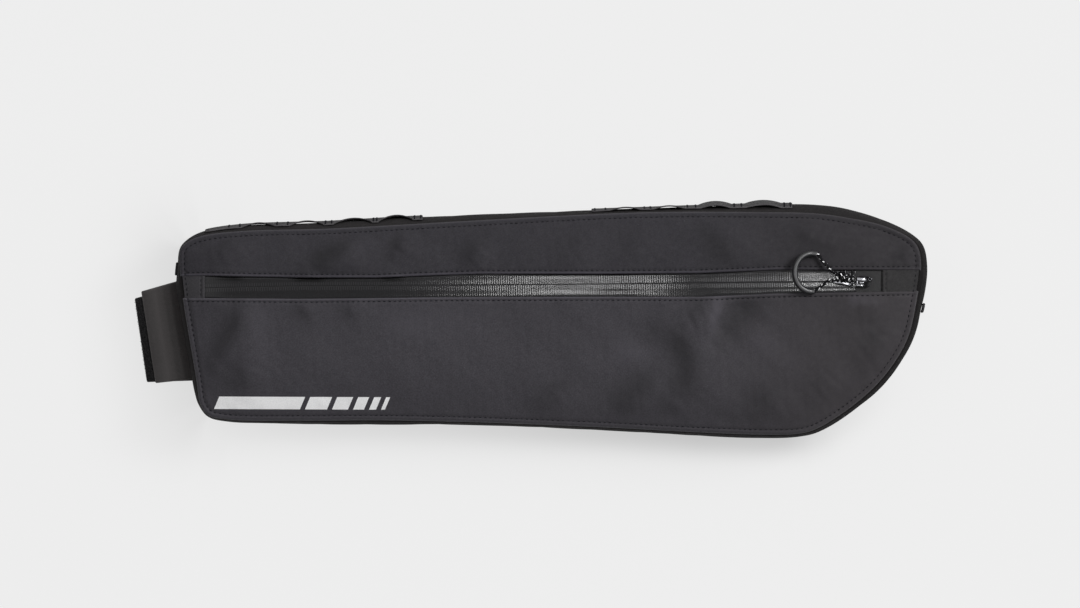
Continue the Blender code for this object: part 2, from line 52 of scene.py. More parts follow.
# ---------------------------------------------------------------- the bag's sizes
FABRIC = 1.5
GAP = 0.3
SEAM_TOP = 50.0
CROWN = 7.5
CROWN_REACH = 40.0
BACK_RISE = 4.5
BACK_ROLL = 18.0
BACK_INSET = 0.8
ZIP_LAP = 4.0
TAPE_DROP = FABRIC + GAP
ZIP_LEFT_X, ZIP_RIGHT_X = -203.9, 203.1
GARAGE_RIGHT_X = 219.4
RIBBON = 1.0
RIBBON_LOW, RIBBON_HIGH = 20.6, 39.4
STRAP = 2.0
SLIDER = (10.6, 6.4, 4.6)
SLIDER_AT = (207.6, 23.6)
TAB = (13.4, 3.6, 1.2)
TAB_AT = (194.6, 24.1)
TAB_TURN = -12.0
KNOT = (14.0, 7.6, 5.4)
KNOT_AT = (194.8, 26.6)
CORD_D = 1.9
TUBE_D, TUBE_BORE = 3.6, 2.6
HOOP_AT = (175.3, 29.7)
HOOP_X, HOOP_Y = 10.4, 11.9
HOOP_FROM, HOOP_TO = 74.0, 277.5
HOOP_LIFT = 3.4

OUTLINE = (
    # name                   x       y    belly
    ("seat_corner_side", -219.0,  44.4,  0.7),
    ("seat_side_high",   -219.6,  34.0,  1.3),
    ("zip_level",        -218.6,  22.5,  3.2),
    ("strap_top",        -217.1,  10.0,  3.2),
    ("strap_middle",     -213.6, -11.3,  3.0),
    ("strap_foot",       -209.9, -33.1,  2.8),
    ("below_strap",      -208.2, -44.6,  2.2),
    ("heel_side",        -206.9, -52.0,  1.2),
    ("heel_corner",      -201.6, -59.4,  1.0),
    ("heel_floor",       -189.0, -62.2,  1.3),
    ("bottom_a",         -142.8, -62.9,  2.1),
    ("bottom_b",          -95.0, -62.7,  2.6),
    ("bottom_c",          -38.1, -63.8,  1.8),
    ("bottom_d",           49.4, -67.3,  1.8),
    ("bottom_e",          104.4, -70.2,  2.1),
    ("bottom_f",          150.0, -71.7,  2.1),
    ("chin",              168.4, -70.9,  1.8),
    ("chin_corner",       178.6, -67.9,  2.3),
    ("slant_low",         200.2, -54.2,  3.1),
    ("slant_middle",      219.4, -36.6,  3.4),
    ("slant_high",        234.7, -13.0,  3.5),
    ("nose_low",          241.1,  12.5,  4.3),
    ("nose",              243.8,  34.0,  4.0),
    ("nose_corner",       242.0,  44.8,  3.7),
    ("nose_shoulder",     237.2,  50.8,  2.8),
    ("brow",              220.4,  58.9,  3.5),
    ("brow_high",         197.0,  64.0,  5.4),
    ("top_e",             177.4,  66.6,  5.3),
    ("top_d",             143.8,  67.4,  4.6),
    ("top_c",              68.1,  67.2,  2.4),
    ("top_b",             -39.4,  61.9,  3.7),
    ("top_ab",            -80.0,  59.6,  4.2),
    ("top_a",            -126.9,  57.1,  3.9),
    ("seat_corner_top",  -181.9,  55.5,  3.4),
    ("seat_corner",      -205.5,  52.6,  2.4),
    ("seat_corner_low",  -214.6,  48.9,  1.2),
)

ZIP_OPENING = (
    #  x       upper   lower   middle
    (-240.0,   26.9,   13.7,   20.0),
    (-203.8,   27.5,   13.7,   20.0),
    (-144.4,   26.4,   13.3,   21.2),
    (-96.9,    26.3,   13.7,   21.4),
    (-63.0,    27.7,   14.2,   21.7),
    (-31.9,    28.6,   14.4,   21.9),
    (43.1,     28.6,   14.6,   22.5),
    (105.6,    29.1,   14.5,   23.2),
    (153.1,    31.2,   16.6,   23.7),
    (210.6,    31.1,   17.5,   24.1),
    (260.0,    31.1,   18.4,   24.4),
)

STRAP_CORNERS = {
    # layer           tip_top            tip_foot          root_top  root_foot
    "strap_upper": ((-243.6, 17.5), (-234.8, -39.0), 23.7, -36.6),
    "strap_lower": ((-247.7, 13.1), (-240.2, -38.4), 21.0, -37.4),
}
STRAP_SECTION = (
    # share_out  upper_z  lower_z
    (0.0,   24.0,   8.5),
    (0.2,   25.2,   8.7),
    (0.4,   24.8,   9.4),
    (0.6,   22.8,  11.2),
    (0.8,   19.4,  13.6),
    (0.92,  17.4,  14.5),
    (1.0,   16.6,  14.1),
)

# Tacks of the daisy-chain ribbons, with how far the arch after each one stands out
# past the fullest part of the gusset at the ribbon's upper and lower edge.
RIBBON_TACKS = {
    "daisy_strip_left": (
        # from     to      upper lower
        (-203.6, -181.2,  0.25, -1.20),
        (-160.3, -151.2,  0.60,  0.30),
        (-129.4, -123.8,  0.90, -1.00),
        (-99.4, -95.6,    1.10, -1.00),
        (-73.8, -68.0,    0.00,  0.00),
    ),
    "daisy_strip_right": (
        (38.1, 47.5,      0.35,  0.40),
        (70.0, 75.6,      0.30,  0.40),
        (96.9, 103.8,    -0.40,  2.10),
        (126.2, 132.5,   -0.80,  2.00),
        (157.5, 163.1,    0.00,  0.00),
    ),
}

# Soft folds in the front face.  A fold's line runs through the given points of the
# view.  Its height is in mm, and its two flanks are the side away from the lamp and
# the side that faces it: a hump is a ridge, a negative one a valley.
FOLDS = (
    # name             away  facing height  points
    ("seat_corner",      3.0, 10.0,  0.75, ((239, 236), (228, 243), (213, 251))),
    ("seat_shoulder",    5.5, 15.0,  1.30, ((356, 235), (340, 249), (322, 262), (308, 270))),
    ("shoulder_second",  3.6, 10.0,  0.80, ((404, 230), (399, 240), (393, 250))),
    ("shoulder_third",   4.5, 13.0,  0.60, ((478, 243), (472, 251), (465, 259))),
    ("upper_smudge_a",   7.0, 13.0,  0.32, ((582, 234), (576, 241), (568, 247))),
    ("upper_smudge_b",   7.0, 13.0,  0.32, ((638, 240), (632, 246), (625, 252))),
    ("brow_arc",         7.0, 16.0,  0.70, ((700, 206), (709, 226), (720, 247), (736, 268))),
    ("pull_arc_a",       4.5, 10.0,  0.45, ((798, 228), (804, 236), (812, 241))),
    ("pull_arc_b",       4.5, 10.0,  0.40, ((812, 240), (822, 246), (836, 250))),
    ("nose_corner",      3.6,  8.0,  0.95, ((917, 243), (908, 251), (898, 260))),
    ("heel_long",        5.5, 13.0,  0.95, ((239, 304), (237, 320), (228, 338), (211, 361))),
    ("heel_low",         6.5, 13.0,  0.50, ((246, 360), (241, 374), (244, 392))),
    ("below_zip_a",      5.0, 13.0,  0.50, ((300, 302), (303, 310), (308, 320))),
    ("below_zip_b",      5.0, 13.0,  0.45, ((346, 302), (349, 310), (353, 319))),
    ("crescent",         8.0, 22.0,  1.12, ((662, 330), (677, 338), (687, 351), (690, 366), (686, 383), (673, 400))),
    ("streak_valley",    6.5, 17.0, -1.05, ((764, 306), (746, 326), (724, 350))),
    ("low_diagonal_a",   7.0, 15.0,  0.85, ((659, 371), (636, 395), (611, 419))),
    ("low_diagonal_b",   5.0, 12.0,  0.65, ((564, 390), (549, 400), (532, 409))),
    ("low_diagonal_c",   7.0, 14.0,  0.62, ((779, 394), (761, 406), (743, 417))),
    ("slant_a",          7.0, 14.0,  0.80, ((884, 333), (873, 345), (861, 355))),
    ("slant_b",          7.5, 13.0,  0.40, ((828, 373), (821, 381), (812, 389))),
    ("slant_c",          7.5, 13.0,  0.35, ((878, 375), (871, 383), (862, 391))),
    ("middle_smudge",    6.0, 12.0,  0.75, ((708, 305), (698, 311), (687, 316))),
    ("garage_light",     9.0,  9.0,  0.55, ((853, 309), (866, 309), (880, 308))),
)

# Painted light on the front cloth, lightening its colour in bands: half-width in mm, strength, points of the view.
PAINTED_LIGHT = (
    ("streak",          4.2, 0.75, ((717, 299), (715, 322), (711, 350))),
    ("by_the_garage",   6.0, 0.65, ((856, 300), (868, 302), (882, 305))),
    ("in_the_crescent", 7.5, 0.32, ((622, 352), (645, 354), (664, 357))),
    ("below_zip",      10.0, 0.25, ((398, 322), (432, 326), (470, 330))),
    ("chin",            9.0, 0.22, ((742, 330), (775, 350), (800, 366))),
    ("over_zip",        4.5, 0.30, ((366, 242), (352, 254), (340, 263))),
    ("seat_end",        7.0, 0.18, ((256, 318), (262, 344), (258, 366))),
    ("right_of_arc",    6.0, 0.22, ((690, 330), (696, 352), (694, 378))),
)

# Where the upper panel's free edge stands up over the zipper.
LIPS = (
    # from    to    rise, in points of the view along x and mm
    (203.0, 254.0, 0.95),
    (283.0, 334.0, 1.15),
    (374.0, 411.0, 1.00),
    (450.0, 492.0, 0.30),
    (588.0, 640.0, 0.45),
)

STITCH_PITCH = 3.25
STITCH = 2.05
SEAM_STITCH_IN = 3.1
ZIP_STITCH_IN = 2.2


# ------------------------------------------------------------------ plan geometry
def at_view(x, y):
    return (x - 531.0) * SCALE, (320.0 - y) * SCALE


def column(table, k):
    return np.array([row[k] for row in table], float)


def closed_curve(points, per_span=24):
    """A smooth closed line through the points (centripetal spline)."""
    p = np.asarray(points, float)
    n = len(p)
    out = []
    for i in range(n):
        a, b, c, d = p[i - 1], p[i], p[(i + 1) % n], p[(i + 2) % n]
        t0 = 0.0
        t1 = t0 + math.sqrt(np.linalg.norm((b - a)[:2]))
        t2 = t1 + math.sqrt(np.linalg.norm((c - b)[:2]))
        t3 = t2 + math.sqrt(np.linalg.norm((d - c)[:2]))
        for t in np.linspace(t1, t2, per_span, endpoint=False):
            ab = (t1 - t) / (t1 - t0) * a + (t - t0) / (t1 - t0) * b
            bc = (t2 - t) / (t2 - t1) * b + (t - t1) / (t2 - t1) * c
            cd = (t3 - t) / (t3 - t2) * c + (t - t2) / (t3 - t2) * d
            abc = (t2 - t) / (t2 - t0) * ab + (t - t0) / (t2 - t0) * bc
            bcd = (t3 - t) / (t3 - t1) * bc + (t - t1) / (t3 - t1) * cd
            out.append((t2 - t) / (t2 - t1) * abc + (t - t1) / (t2 - t1) * bcd)
    return np.array(out)


def open_route(points, spacing):
    """Points at an even spacing along a smooth open line through the given ones."""
    p = np.asarray(points, float)
    p = np.vstack([2 * p[0] - p[1], p, 2 * p[-1] - p[-2]])
    fine = []
    for i in range(1, len(p) - 2):
        a, b, c, d = p[i - 1], p[i], p[i + 1], p[i + 2]
        for t in np.linspace(0.0, 1.0, 16, endpoint=False):
            fine.append(0.5 * (2 * b + (c - a) * t + (2 * a - 5 * b + 4 * c - d) * t**2
                               + (3 * b - a - 3 * c + d) * t**3))
    fine.append(p[-2])
    fine = np.array(fine)
    reach = np.concatenate([[0.0], np.cumsum(np.linalg.norm(np.diff(fine, axis=0), axis=1))])
    wanted = np.linspace(0.0, reach[-1], int(round(reach[-1] / spacing)) + 1)
    return np.column_stack([np.interp(wanted, reach, fine[:, k]) for k in range(p.shape[1])])


def even_ring(line, count, turn_share=0.0):
    """Stations along a closed line, evenly spaced or gathered a little in its turns."""
    nxt = np.roll(line, -1, axis=0)
    step = nxt[:, :2] - line[:, :2]
    length = np.linalg.norm(step, axis=1)
    heading = np.unwrap(np.arctan2(step[:, 1], step[:, 0]))
    turn = np.abs(np.diff(np.append(heading, heading[0] + 2 * math.pi)))
    turn = np.convolve(np.tile(turn, 3), np.ones(9) / 9, "same")[len(turn):2 * len(turn)]
    reach = np.concatenate([[0.0], np.cumsum(length + turn_share * turn)])
    wanted = np.linspace(0.0, reach[-1], count, endpoint=False)
    ring = np.vstack([line, line[:1]])
    return np.column_stack([np.interp(wanted, reach, ring[:, k]) for k in range(line.shape[1])])


def normals_of(ring):
    along = np.roll(ring[:, :2], -1, axis=0) - np.roll(ring[:, :2], 1, axis=0)
    out = np.column_stack([along[:, 1], -along[:, 0]])
    return out / np.linalg.norm(out, axis=1)[:, None]


def crossings(ring, at, axis):
    a, b = ring[:, :2], np.roll(ring[:, :2], -1, axis=0)
    low, high = np.minimum(a[:, axis], b[:, axis]), np.maximum(a[:, axis], b[:, axis])
    hit = (low <= at) & (at <= high) & (high - low > 1e-9)
    if not hit.any():
        return 0.0, 0.0
    t = (at - a[hit, axis]) / (b[hit, axis] - a[hit, axis])
    other = a[hit, 1 - axis] + t * (b[hit, 1 - axis] - a[hit, 1 - axis])
    return other.min(), other.max()


def towards_spine(ring, distance):
    x = np.clip(ring[:, 0], -160.0, 172.0)
    spine = np.column_stack([x, np.interp(x, (-160.0, 172.0), (-3.0, 3.0))])
    way = spine - ring[:, :2]
    way /= np.linalg.norm(way, axis=1)[:, None]
    return ring[:, :2] + way * np.asarray(distance)[..., None]


SEAM_LINE = closed_curve(np.column_stack([column(OUTLINE, k) for k in (1, 2, 3)]))
GRID_X = np.arange(-219.0, 243.3, 0.5)
GRID_Y = np.arange(-71.0, 67.0, 0.5)
FLOOR_AT, TOP_AT = np.array([crossings(SEAM_LINE, x, 0) for x in GRID_X]).T
LEFT_AT, RIGHT_AT = np.array([crossings(SEAM_LINE, y, 1) for y in GRID_Y]).T


def zip_edge(x, which):
    return np.interp(x, column(ZIP_OPENING, 0), column(ZIP_OPENING, which))


def nearest_on(points, line, closed=True):
    """Distance from each point to a line, and how far along the line that is."""
    line = np.asarray(line)[:, :2]
    ends = np.vstack([line, line[:1]]) if closed else line
    seg = np.diff(ends, axis=0)
    length = np.hypot(*seg.T)
    reach = np.concatenate([[0.0], np.cumsum(length)])
    far, along = np.empty(len(points)), np.empty(len(points))
    for i in range(0, len(points), 4000):
        p = points[i:i + 4000, None, :]
        t = np.clip(((p - ends[None, :-1]) * seg[None]).sum(2) / length**2, 0.0, 1.0)
        d = np.hypot(*np.moveaxis(p - ends[None, :-1] - t[..., None] * seg[None], 2, 0))
        k = d.argmin(1)
        rows = np.arange(len(k))
        far[i:i + 4000] = d[rows, k]
        along[i:i + 4000] = reach[k] + t[rows, k] * length[k]
    return far, along


def undulation(seed, count, short, long):
    """A smooth uneven surface of unit strength, the same on each run."""
    pick = np.random.default_rng(seed)
    angle = pick.uniform(0.0, 2 * math.pi, count)
    wave = np.exp(pick.uniform(math.log(short), math.log(long), count))
    start = pick.uniform(0.0, 2 * math.pi, count)

    def height(x, y):
        total = np.zeros(np.shape(x))
        for a, w, s in zip(angle, wave, start):
            total += np.sin(2 * math.pi * (x * math.cos(a) + y * math.sin(a)) / w + s)
        return total / math.sqrt(count / 2)

    return height


BROAD = undulation(3, 10, 60.0, 150.0)
MIDDLE = undulation(11, 14, 18.0, 42.0)
SMALL = undulation(29, 16, 5.0, 11.0)
LAMP_WAY = np.array([0.908, 0.419])
FOLD_GAIN = 2.3


# ------------------------------------------------------------ the front face's form
def rise(distance):
    t = np.clip(distance / CROWN_REACH, 0.0, 1.0)
    return 1.0 - (1.0 - t) ** 2


def face_height(x, y):
    """Top of the filled front face, as the solid model has it."""
    x, y = np.asarray(x, float), np.asarray(y, float)
    share = (
        rise(np.interp(x, GRID_X, TOP_AT) - y) * rise(y - np.interp(x, GRID_X, FLOOR_AT))
        * rise(x - np.interp(y, GRID_Y, LEFT_AT)) * rise(np.interp(y, GRID_Y, RIGHT_AT) - x)
    )
    return SEAM_TOP + CROWN * share


def smooth(t):
    t = np.clip(t, 0.0, 1.0)
    return t * t * (3.0 - 2.0 * t)


def fold_height(x, y):
    """Height of the folds, and the painted shading: painted shade in a band beside each fold, lowered where light is
    painted on.
    """
    p = np.column_stack([x, y])
    total, painted_shading = np.zeros(len(p)), np.zeros(len(p))
    for name, away, facing, height, points in FOLDS:
        line = open_route([at_view(*q) for q in points], 4.0)
        chord = line[-1] - line[0]
        chord /= np.hypot(*chord)
        right = np.array([chord[1], -chord[0]])
        side = 1.0 if right @ LAMP_WAY > 0 else -1.0
        seg = np.diff(line, axis=0)
        length = np.hypot(*seg.T)
        reach = np.concatenate([[0.0], np.cumsum(length)])
        best = np.full(len(p), 1e9)
        way = np.gradient(line, axis=0)
        way /= np.hypot(*way.T)[:, None]
        off, over, share = np.zeros(len(p)), np.zeros(len(p)), np.zeros(len(p))
        near = np.abs(p - line.mean(0)).max(1) < reach[-1] / 2 + 60.0
        for k in range(len(seg)):
            t = seg[k] / length[k]
            rel = p[near] - line[k]
            a = rel @ t
            inside = np.clip(a, 0.0, length[k])
            d = np.hypot(*(rel - inside[:, None] * t).T)
            take = d < best[near]
            index = np.flatnonzero(near)[take]
            best[index] = d[take]
            # Past its two ends only, a point's distance is split along and across the line.
            apart = rel - inside[:, None] * t
            past = a - inside
            if k > 0:
                past = np.where(past < 0, 0.0, past)
            if k < len(seg) - 1:
                past = np.where(past > 0, 0.0, past)
            turn = way[k] + (way[k + 1] - way[k]) * (inside / length[k])[:, None]
            hand = np.sign(apart[:, 0] * turn[:, 1] - apart[:, 1] * turn[:, 0])
            off[index] = (side * hand * np.sqrt(np.clip(d**2 - past**2, 0.0, None)))[take]
            over[index] = past[take]
            share[index] = (reach[k] + inside[take]) / reach[-1]
        shift = 0.6 * (away if height > 0 else -facing)
        d = off - shift
        low, high = (away, facing)
        form = np.where(d < 0, np.exp(-(d / low) ** 2), np.exp(-(d / high) ** 2))
        ends = 0.5 + 0.5 * smooth(share / 0.3) * smooth((1.0 - share) / 0.3)
        form *= ends * np.exp(-(over / (0.6 * away + 3.0)) ** 2)
        total += np.where(near, height * form, 0.0)
        # Painted shade: a band on each fold's flank away from the lamp, or in its valley, darkens the colour.
        foot = (d + 0.9 * away) if height > 0 else (d - 0.2 * facing)
        band = np.exp(-(foot / (1.5 * away)) ** 2) * ends * np.exp(-(over / (1.1 * away + 5.0)) ** 2)
        painted_shading = np.maximum(painted_shading, np.where(near, band * min(1.0, abs(height) / 1.1), 0.0))
    # Painted light: these bands take the painted shading below zero, which lightens the colour.
    for name, wide, strength, points in PAINTED_LIGHT:
        line = open_route([at_view(*q) for q in points], 4.0)
        far, along = nearest_on(p, line, closed=False)
        share = along / path_reach(line)[-1]
        painted_shading -= strength * np.exp(-(far / wide) ** 2) * (0.4 + 0.6 * smooth((1.0 - share) / 0.7))
    return total, painted_shading


def lip_height(x):
    """How far the upper panel's free edge stands up at x."""
    view_x = x / SCALE + 531.0
    total = np.zeros(np.shape(x))
    for start, stop, lift in LIPS:
        t = np.clip((view_x - start) / (stop - start), 0.0, 1.0)
        total += lift * np.sin(math.pi * t) ** 2
    return total


def edge_roll(distance, stitch_in, depth):
    """A turned edge: rounded over, a low roll, then the dip of the topstitching."""
    d = np.clip(distance, 0.0, None)
    return (
        -1.0 * np.clip(1.0 - d / 1.0, 0.0, 1.0) ** 2
        + 0.14 * np.exp(-((d - 1.5) / 1.0) ** 2)
        - depth * np.exp(-((d - stitch_in) / 0.8) ** 2)
        + 0.06 * np.exp(-((d - stitch_in - 2.0) / 1.2) ** 2)
    )


def front_height(x, y, detail=True, with_painted_shading=False):
    """Height of the front panels' cloth, with folds, seams and free edges."""
    x, y = np.ravel(np.asarray(x, float)), np.ravel(np.asarray(y, float))
    far, along = nearest_on(np.column_stack([x, y]), SEAM_LINE)
    over_zip, under_zip = y - zip_edge(x, 1), zip_edge(x, 2) - y
    from_zip = np.where(y > zip_edge(x, 3), over_zip, under_zip)
    calm = smooth((np.hypot(x - 188.0, (y - 26.0) * 1.3) - 12.0) / 20.0)
    settle = smooth(far / 16.0)
    folds, painted_shading = fold_height(x, y)
    z = face_height(x, y)
    z = z + calm * settle * (FOLD_GAIN * folds * (0.3 + 0.7 * smooth(np.abs(from_zip) / 9.0)) + 0.35 * BROAD(x, y) + 0.12 * MIDDLE(x, y))
    z = z + calm * smooth(far / 9.0) * 0.035 * SMALL(x, y)
    lip = lip_height(x) * np.exp(-(np.clip(over_zip, 0.0, None) / 4.5) ** 2) * (over_zip > -1.0)
    z = z + lip * calm
    z = z + edge_roll(far, SEAM_STITCH_IN, 0.26)
    z = z + 0.9 * (edge_roll(from_zip, ZIP_STITCH_IN, 0.26)) * smooth(far / 2.0)
    if detail:
        beat = np.cos(2 * math.pi * along / STITCH_PITCH)
        z = z - 0.13 * (0.5 - 0.5 * beat) * np.exp(-((far - SEAM_STITCH_IN) / 1.5) ** 2)
        beat = np.cos(2 * math.pi * x / STITCH_PITCH)
        z = z - 0.11 * (0.5 - 0.5 * beat) * np.exp(-((from_zip - ZIP_STITCH_IN) / 1.3) ** 2)
        pucker = np.sin(along / 2.9 + 1.6 * np.sin(along / 17.0)) + 0.6 * np.sin(along / 5.3 + 2.0)
        z = z + 0.13 * pucker * np.exp(-((far - 5.2) / 3.2) ** 2)
        pucker = np.sin(x / 3.3 + 1.9 * np.sin(x / 23.0)) + 0.6 * np.sin(x / 6.1 + 1.0)
        z = z + 0.07 * pucker * calm * np.exp(-((from_zip - 4.2) / 2.6) ** 2) * (far > 4.0)
    if with_painted_shading:
        return z, painted_shading * settle
    return z


# -------------------------------------------------------------------- mesh making
class Pile:
    """Collects grids of quads, with their texture places and values, for one mesh."""

    def __init__(self):
        self.points, self.quads, self.places, self.values, self.count = [], [], [], [], 0
        self.painted_shadings = []

    def grid(self, points, wrap=False, place=None, value=None, flip=False, painted_shading=None):
        """rows x columns x 3 points in mm; wrap joins the last column to the first."""
        points = np.asarray(points, float)
        rows, cols = points.shape[:2]
        index = np.arange(rows * cols).reshape(rows, cols) + self.count
        if wrap:
            index = np.hstack([index, index[:, :1]])
        corners = [index[:-1, :-1], index[:-1, 1:], index[1:, 1:], index[1:, :-1]]
        width = index.shape[1]
        if place is None:
            u, v = np.meshgrid(np.arange(width) / (width - 1), np.arange(rows) / (rows - 1))
            place = np.stack([u, v], -1)
        spots = [place[:-1, :-1], place[:-1, 1:], place[1:, 1:], place[1:, :-1]]
        if flip:
            corners, spots = corners[::-1], spots[::-1]
        self.points.append(points.reshape(-1, 3))
        self.quads.append(np.stack(corners, -1).reshape(-1, 4))
        self.places.append(np.stack(spots, -2).reshape(-1, 2))
        value = np.zeros(rows * cols) if value is None else np.ravel(value)
        self.values.append(value)
        self.painted_shadings.append(np.zeros(rows * cols) if painted_shading is None else np.ravel(painted_shading))
        self.count += rows * cols

    def make(self, name, finish, sharp=None, replaces=()):
        points = np.vstack(self.points)
        quads = np.vstack(self.quads)
        mesh = bpy.data.meshes.new(name)
        mesh.from_pydata((points * MM).tolist(), [], quads.tolist())
        layer = mesh.uv_layers.new(name="UVMap")
        layer.data.foreach_set("uv", np.vstack(self.places).astype(np.float32).ravel())
        # The edge values are painted highlights; the second attribute is painted shading, shade where positive and
        # light where negative.
        layer = mesh.attributes.new("edge", "FLOAT", "POINT")
        layer.data.foreach_set("value", np.concatenate(self.values).astype(np.float32))
        layer = mesh.attributes.new("painted_shading", "FLOAT", "POINT")
        layer.data.foreach_set("value", np.concatenate(self.painted_shadings).astype(np.float32))
        mesh.materials.append(finish)
        mesh.shade_smooth()
        if sharp:
            mesh.set_sharp_from_angle(angle=math.radians(sharp))
        made = bpy.data.objects.new(name, mesh)
        bpy.context.scene.collection.objects.link(made)
        if replaces:
            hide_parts(*replaces)
        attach(made, "root")
        return made


def tube_grid(path, radius, sides, squash=None):
    """A round tube along a path, its radius one number or one for each point."""
    path = np.asarray(path, float)
    n = len(path)
    radius = np.broadcast_to(np.asarray(radius, float), (n,)) if np.ndim(radius) < 2 else radius
    way = np.gradient(path, axis=0)
    way /= np.linalg.norm(way, axis=1)[:, None]
    side = np.cross(way[0], (0.0, 0.0, 1.0))
    if np.linalg.norm(side) < 0.2:
        side = np.cross(way[0], (0.0, 1.0, 0.0))
    sides_at = []
    for t in way:
        side = side - t * (side @ t)
        side /= np.linalg.norm(side)
        sides_at.append(side)
    a = np.array(sides_at)
    b = np.cross(way, a)
    angle = np.linspace(0.0, 2 * math.pi, sides, endpoint=False)
    ring = a[:, None] * np.cos(angle)[None, :, None] + b[:, None] * np.sin(angle)[None, :, None]
    if np.ndim(radius) == 1:
        radius = radius[:, None]
    return path[:, None] + ring * np.asarray(radius)[..., None]


def path_reach(path):
    return np.concatenate([[0.0], np.cumsum(np.linalg.norm(np.diff(path, axis=0), axis=1))])


def tube_place(path, sides):
    u = path_reach(path)
    v = np.arange(sides + 1) / sides
    return np.stack(np.meshgrid(v, u), -1)[..., ::-1]


def capped(path, radius, rounds=4):
    """A path lengthened by rounded ends, with its radius for each point."""
    path = np.asarray(path, float)
    first, last = path[0] - path[1], path[-1] - path[-2]
    first, last = first / np.linalg.norm(first), last / np.linalg.norm(last)
    steps = np.sin(np.linspace(0.0, math.pi / 2, rounds + 1))[1:]
    shrink = np.sqrt(np.clip(1.0 - steps**2, 0.0004, 1.0))
    head = [path[0] + first * radius * 0.8 * s for s in steps[::-1]]
    tail = [path[-1] + last * radius * 0.8 * s for s in steps]
    radii = np.concatenate([radius * shrink[::-1], np.full(len(path), radius), radius * shrink])
    return np.vstack([head, path, tail]), radii


def slab(pile, top, down, thickness, value=None, tile=1.0):
    """A band of cloth with rounded edges: its face as a grid, its back behind it."""
    top = np.asarray(top, float)
    down = np.broadcast_to(np.asarray(down, float), top.shape)
    back = top + down * thickness
    middle = (top + back) / 2
    side = top[:, -1] - top[:, -2]
    side /= np.linalg.norm(side, axis=1)[:, None]
    other = top[:, 0] - top[:, 1]
    other /= np.linalg.norm(other, axis=1)[:, None]
    r = 0.32 * thickness
    ring = np.concatenate(
        [top, (middle[:, -1] + side * r)[:, None], back[:, ::-1], (middle[:, 0] + other * r)[:, None]],
        axis=1,
    )
    middles = np.concatenate(
        [middle, middle[:, -1:], middle[:, ::-1], middle[:, :1]], axis=1
    )
    ends = []
    for k, step in ((0, middle[0] - middle[1]), (-1, middle[-1] - middle[-2])):
        step = step / np.linalg.norm(step, axis=1)[:, None]
        out = np.concatenate([step, step[-1:], step[::-1], step[:1]], axis=0)
        ends.append(middles[k] + out * r)
    full = np.concatenate([ends[0][None], ring, ends[1][None]], axis=0)
    width = np.linalg.norm(top[0, 0] - top[0, -1])
    length = path_reach(top[:, top.shape[1] // 2])
    v = np.concatenate([[0.0], length, [length[-1]]])
    m = top.shape[1]
    u = np.concatenate([np.linspace(0, width, m), [width], np.linspace(width, 0, m), [0.0], [0.0]])
    place = np.stack(np.meshgrid(u, v), -1) * tile
    held = np.zeros(full.shape[:2])
    if value is not None:
        held[1:-1, :m], held[1:-1, m], held[1:-1, -1] = value, value[:, -1], value[:, 0]
    pile.grid(full, wrap=True, place=place, value=held)


def stitches(pile, line, normal, pitch=STITCH_PITCH, length=STITCH, radius=0.23, start=0.0, lift=0.12):
    """Thread that dips into the cloth between its visible stitches along a line."""
    line = np.asarray(line, float)
    normal = np.broadcast_to(np.asarray(normal, float), line.shape)
    reach = path_reach(line)
    share = np.linspace(-0.5, 0.5, 6)
    up = lift - (lift + 0.34) * np.abs(2 * share) ** 2.6
    for middle in np.arange(start + pitch / 2, reach[-1] - length / 2, pitch):
        s = middle + share * length
        p = np.column_stack([np.interp(s, reach, line[:, k]) for k in range(3)])
        n = np.column_stack([np.interp(s, reach, normal[:, k]) for k in range(3)])
        p = p + n * up[:, None]
        size = radius * np.sqrt(np.clip(1.0 - (2 * share) ** 4, 0.03, 1.0))
        pile.grid(tube_grid(p, size, 6), wrap=True)


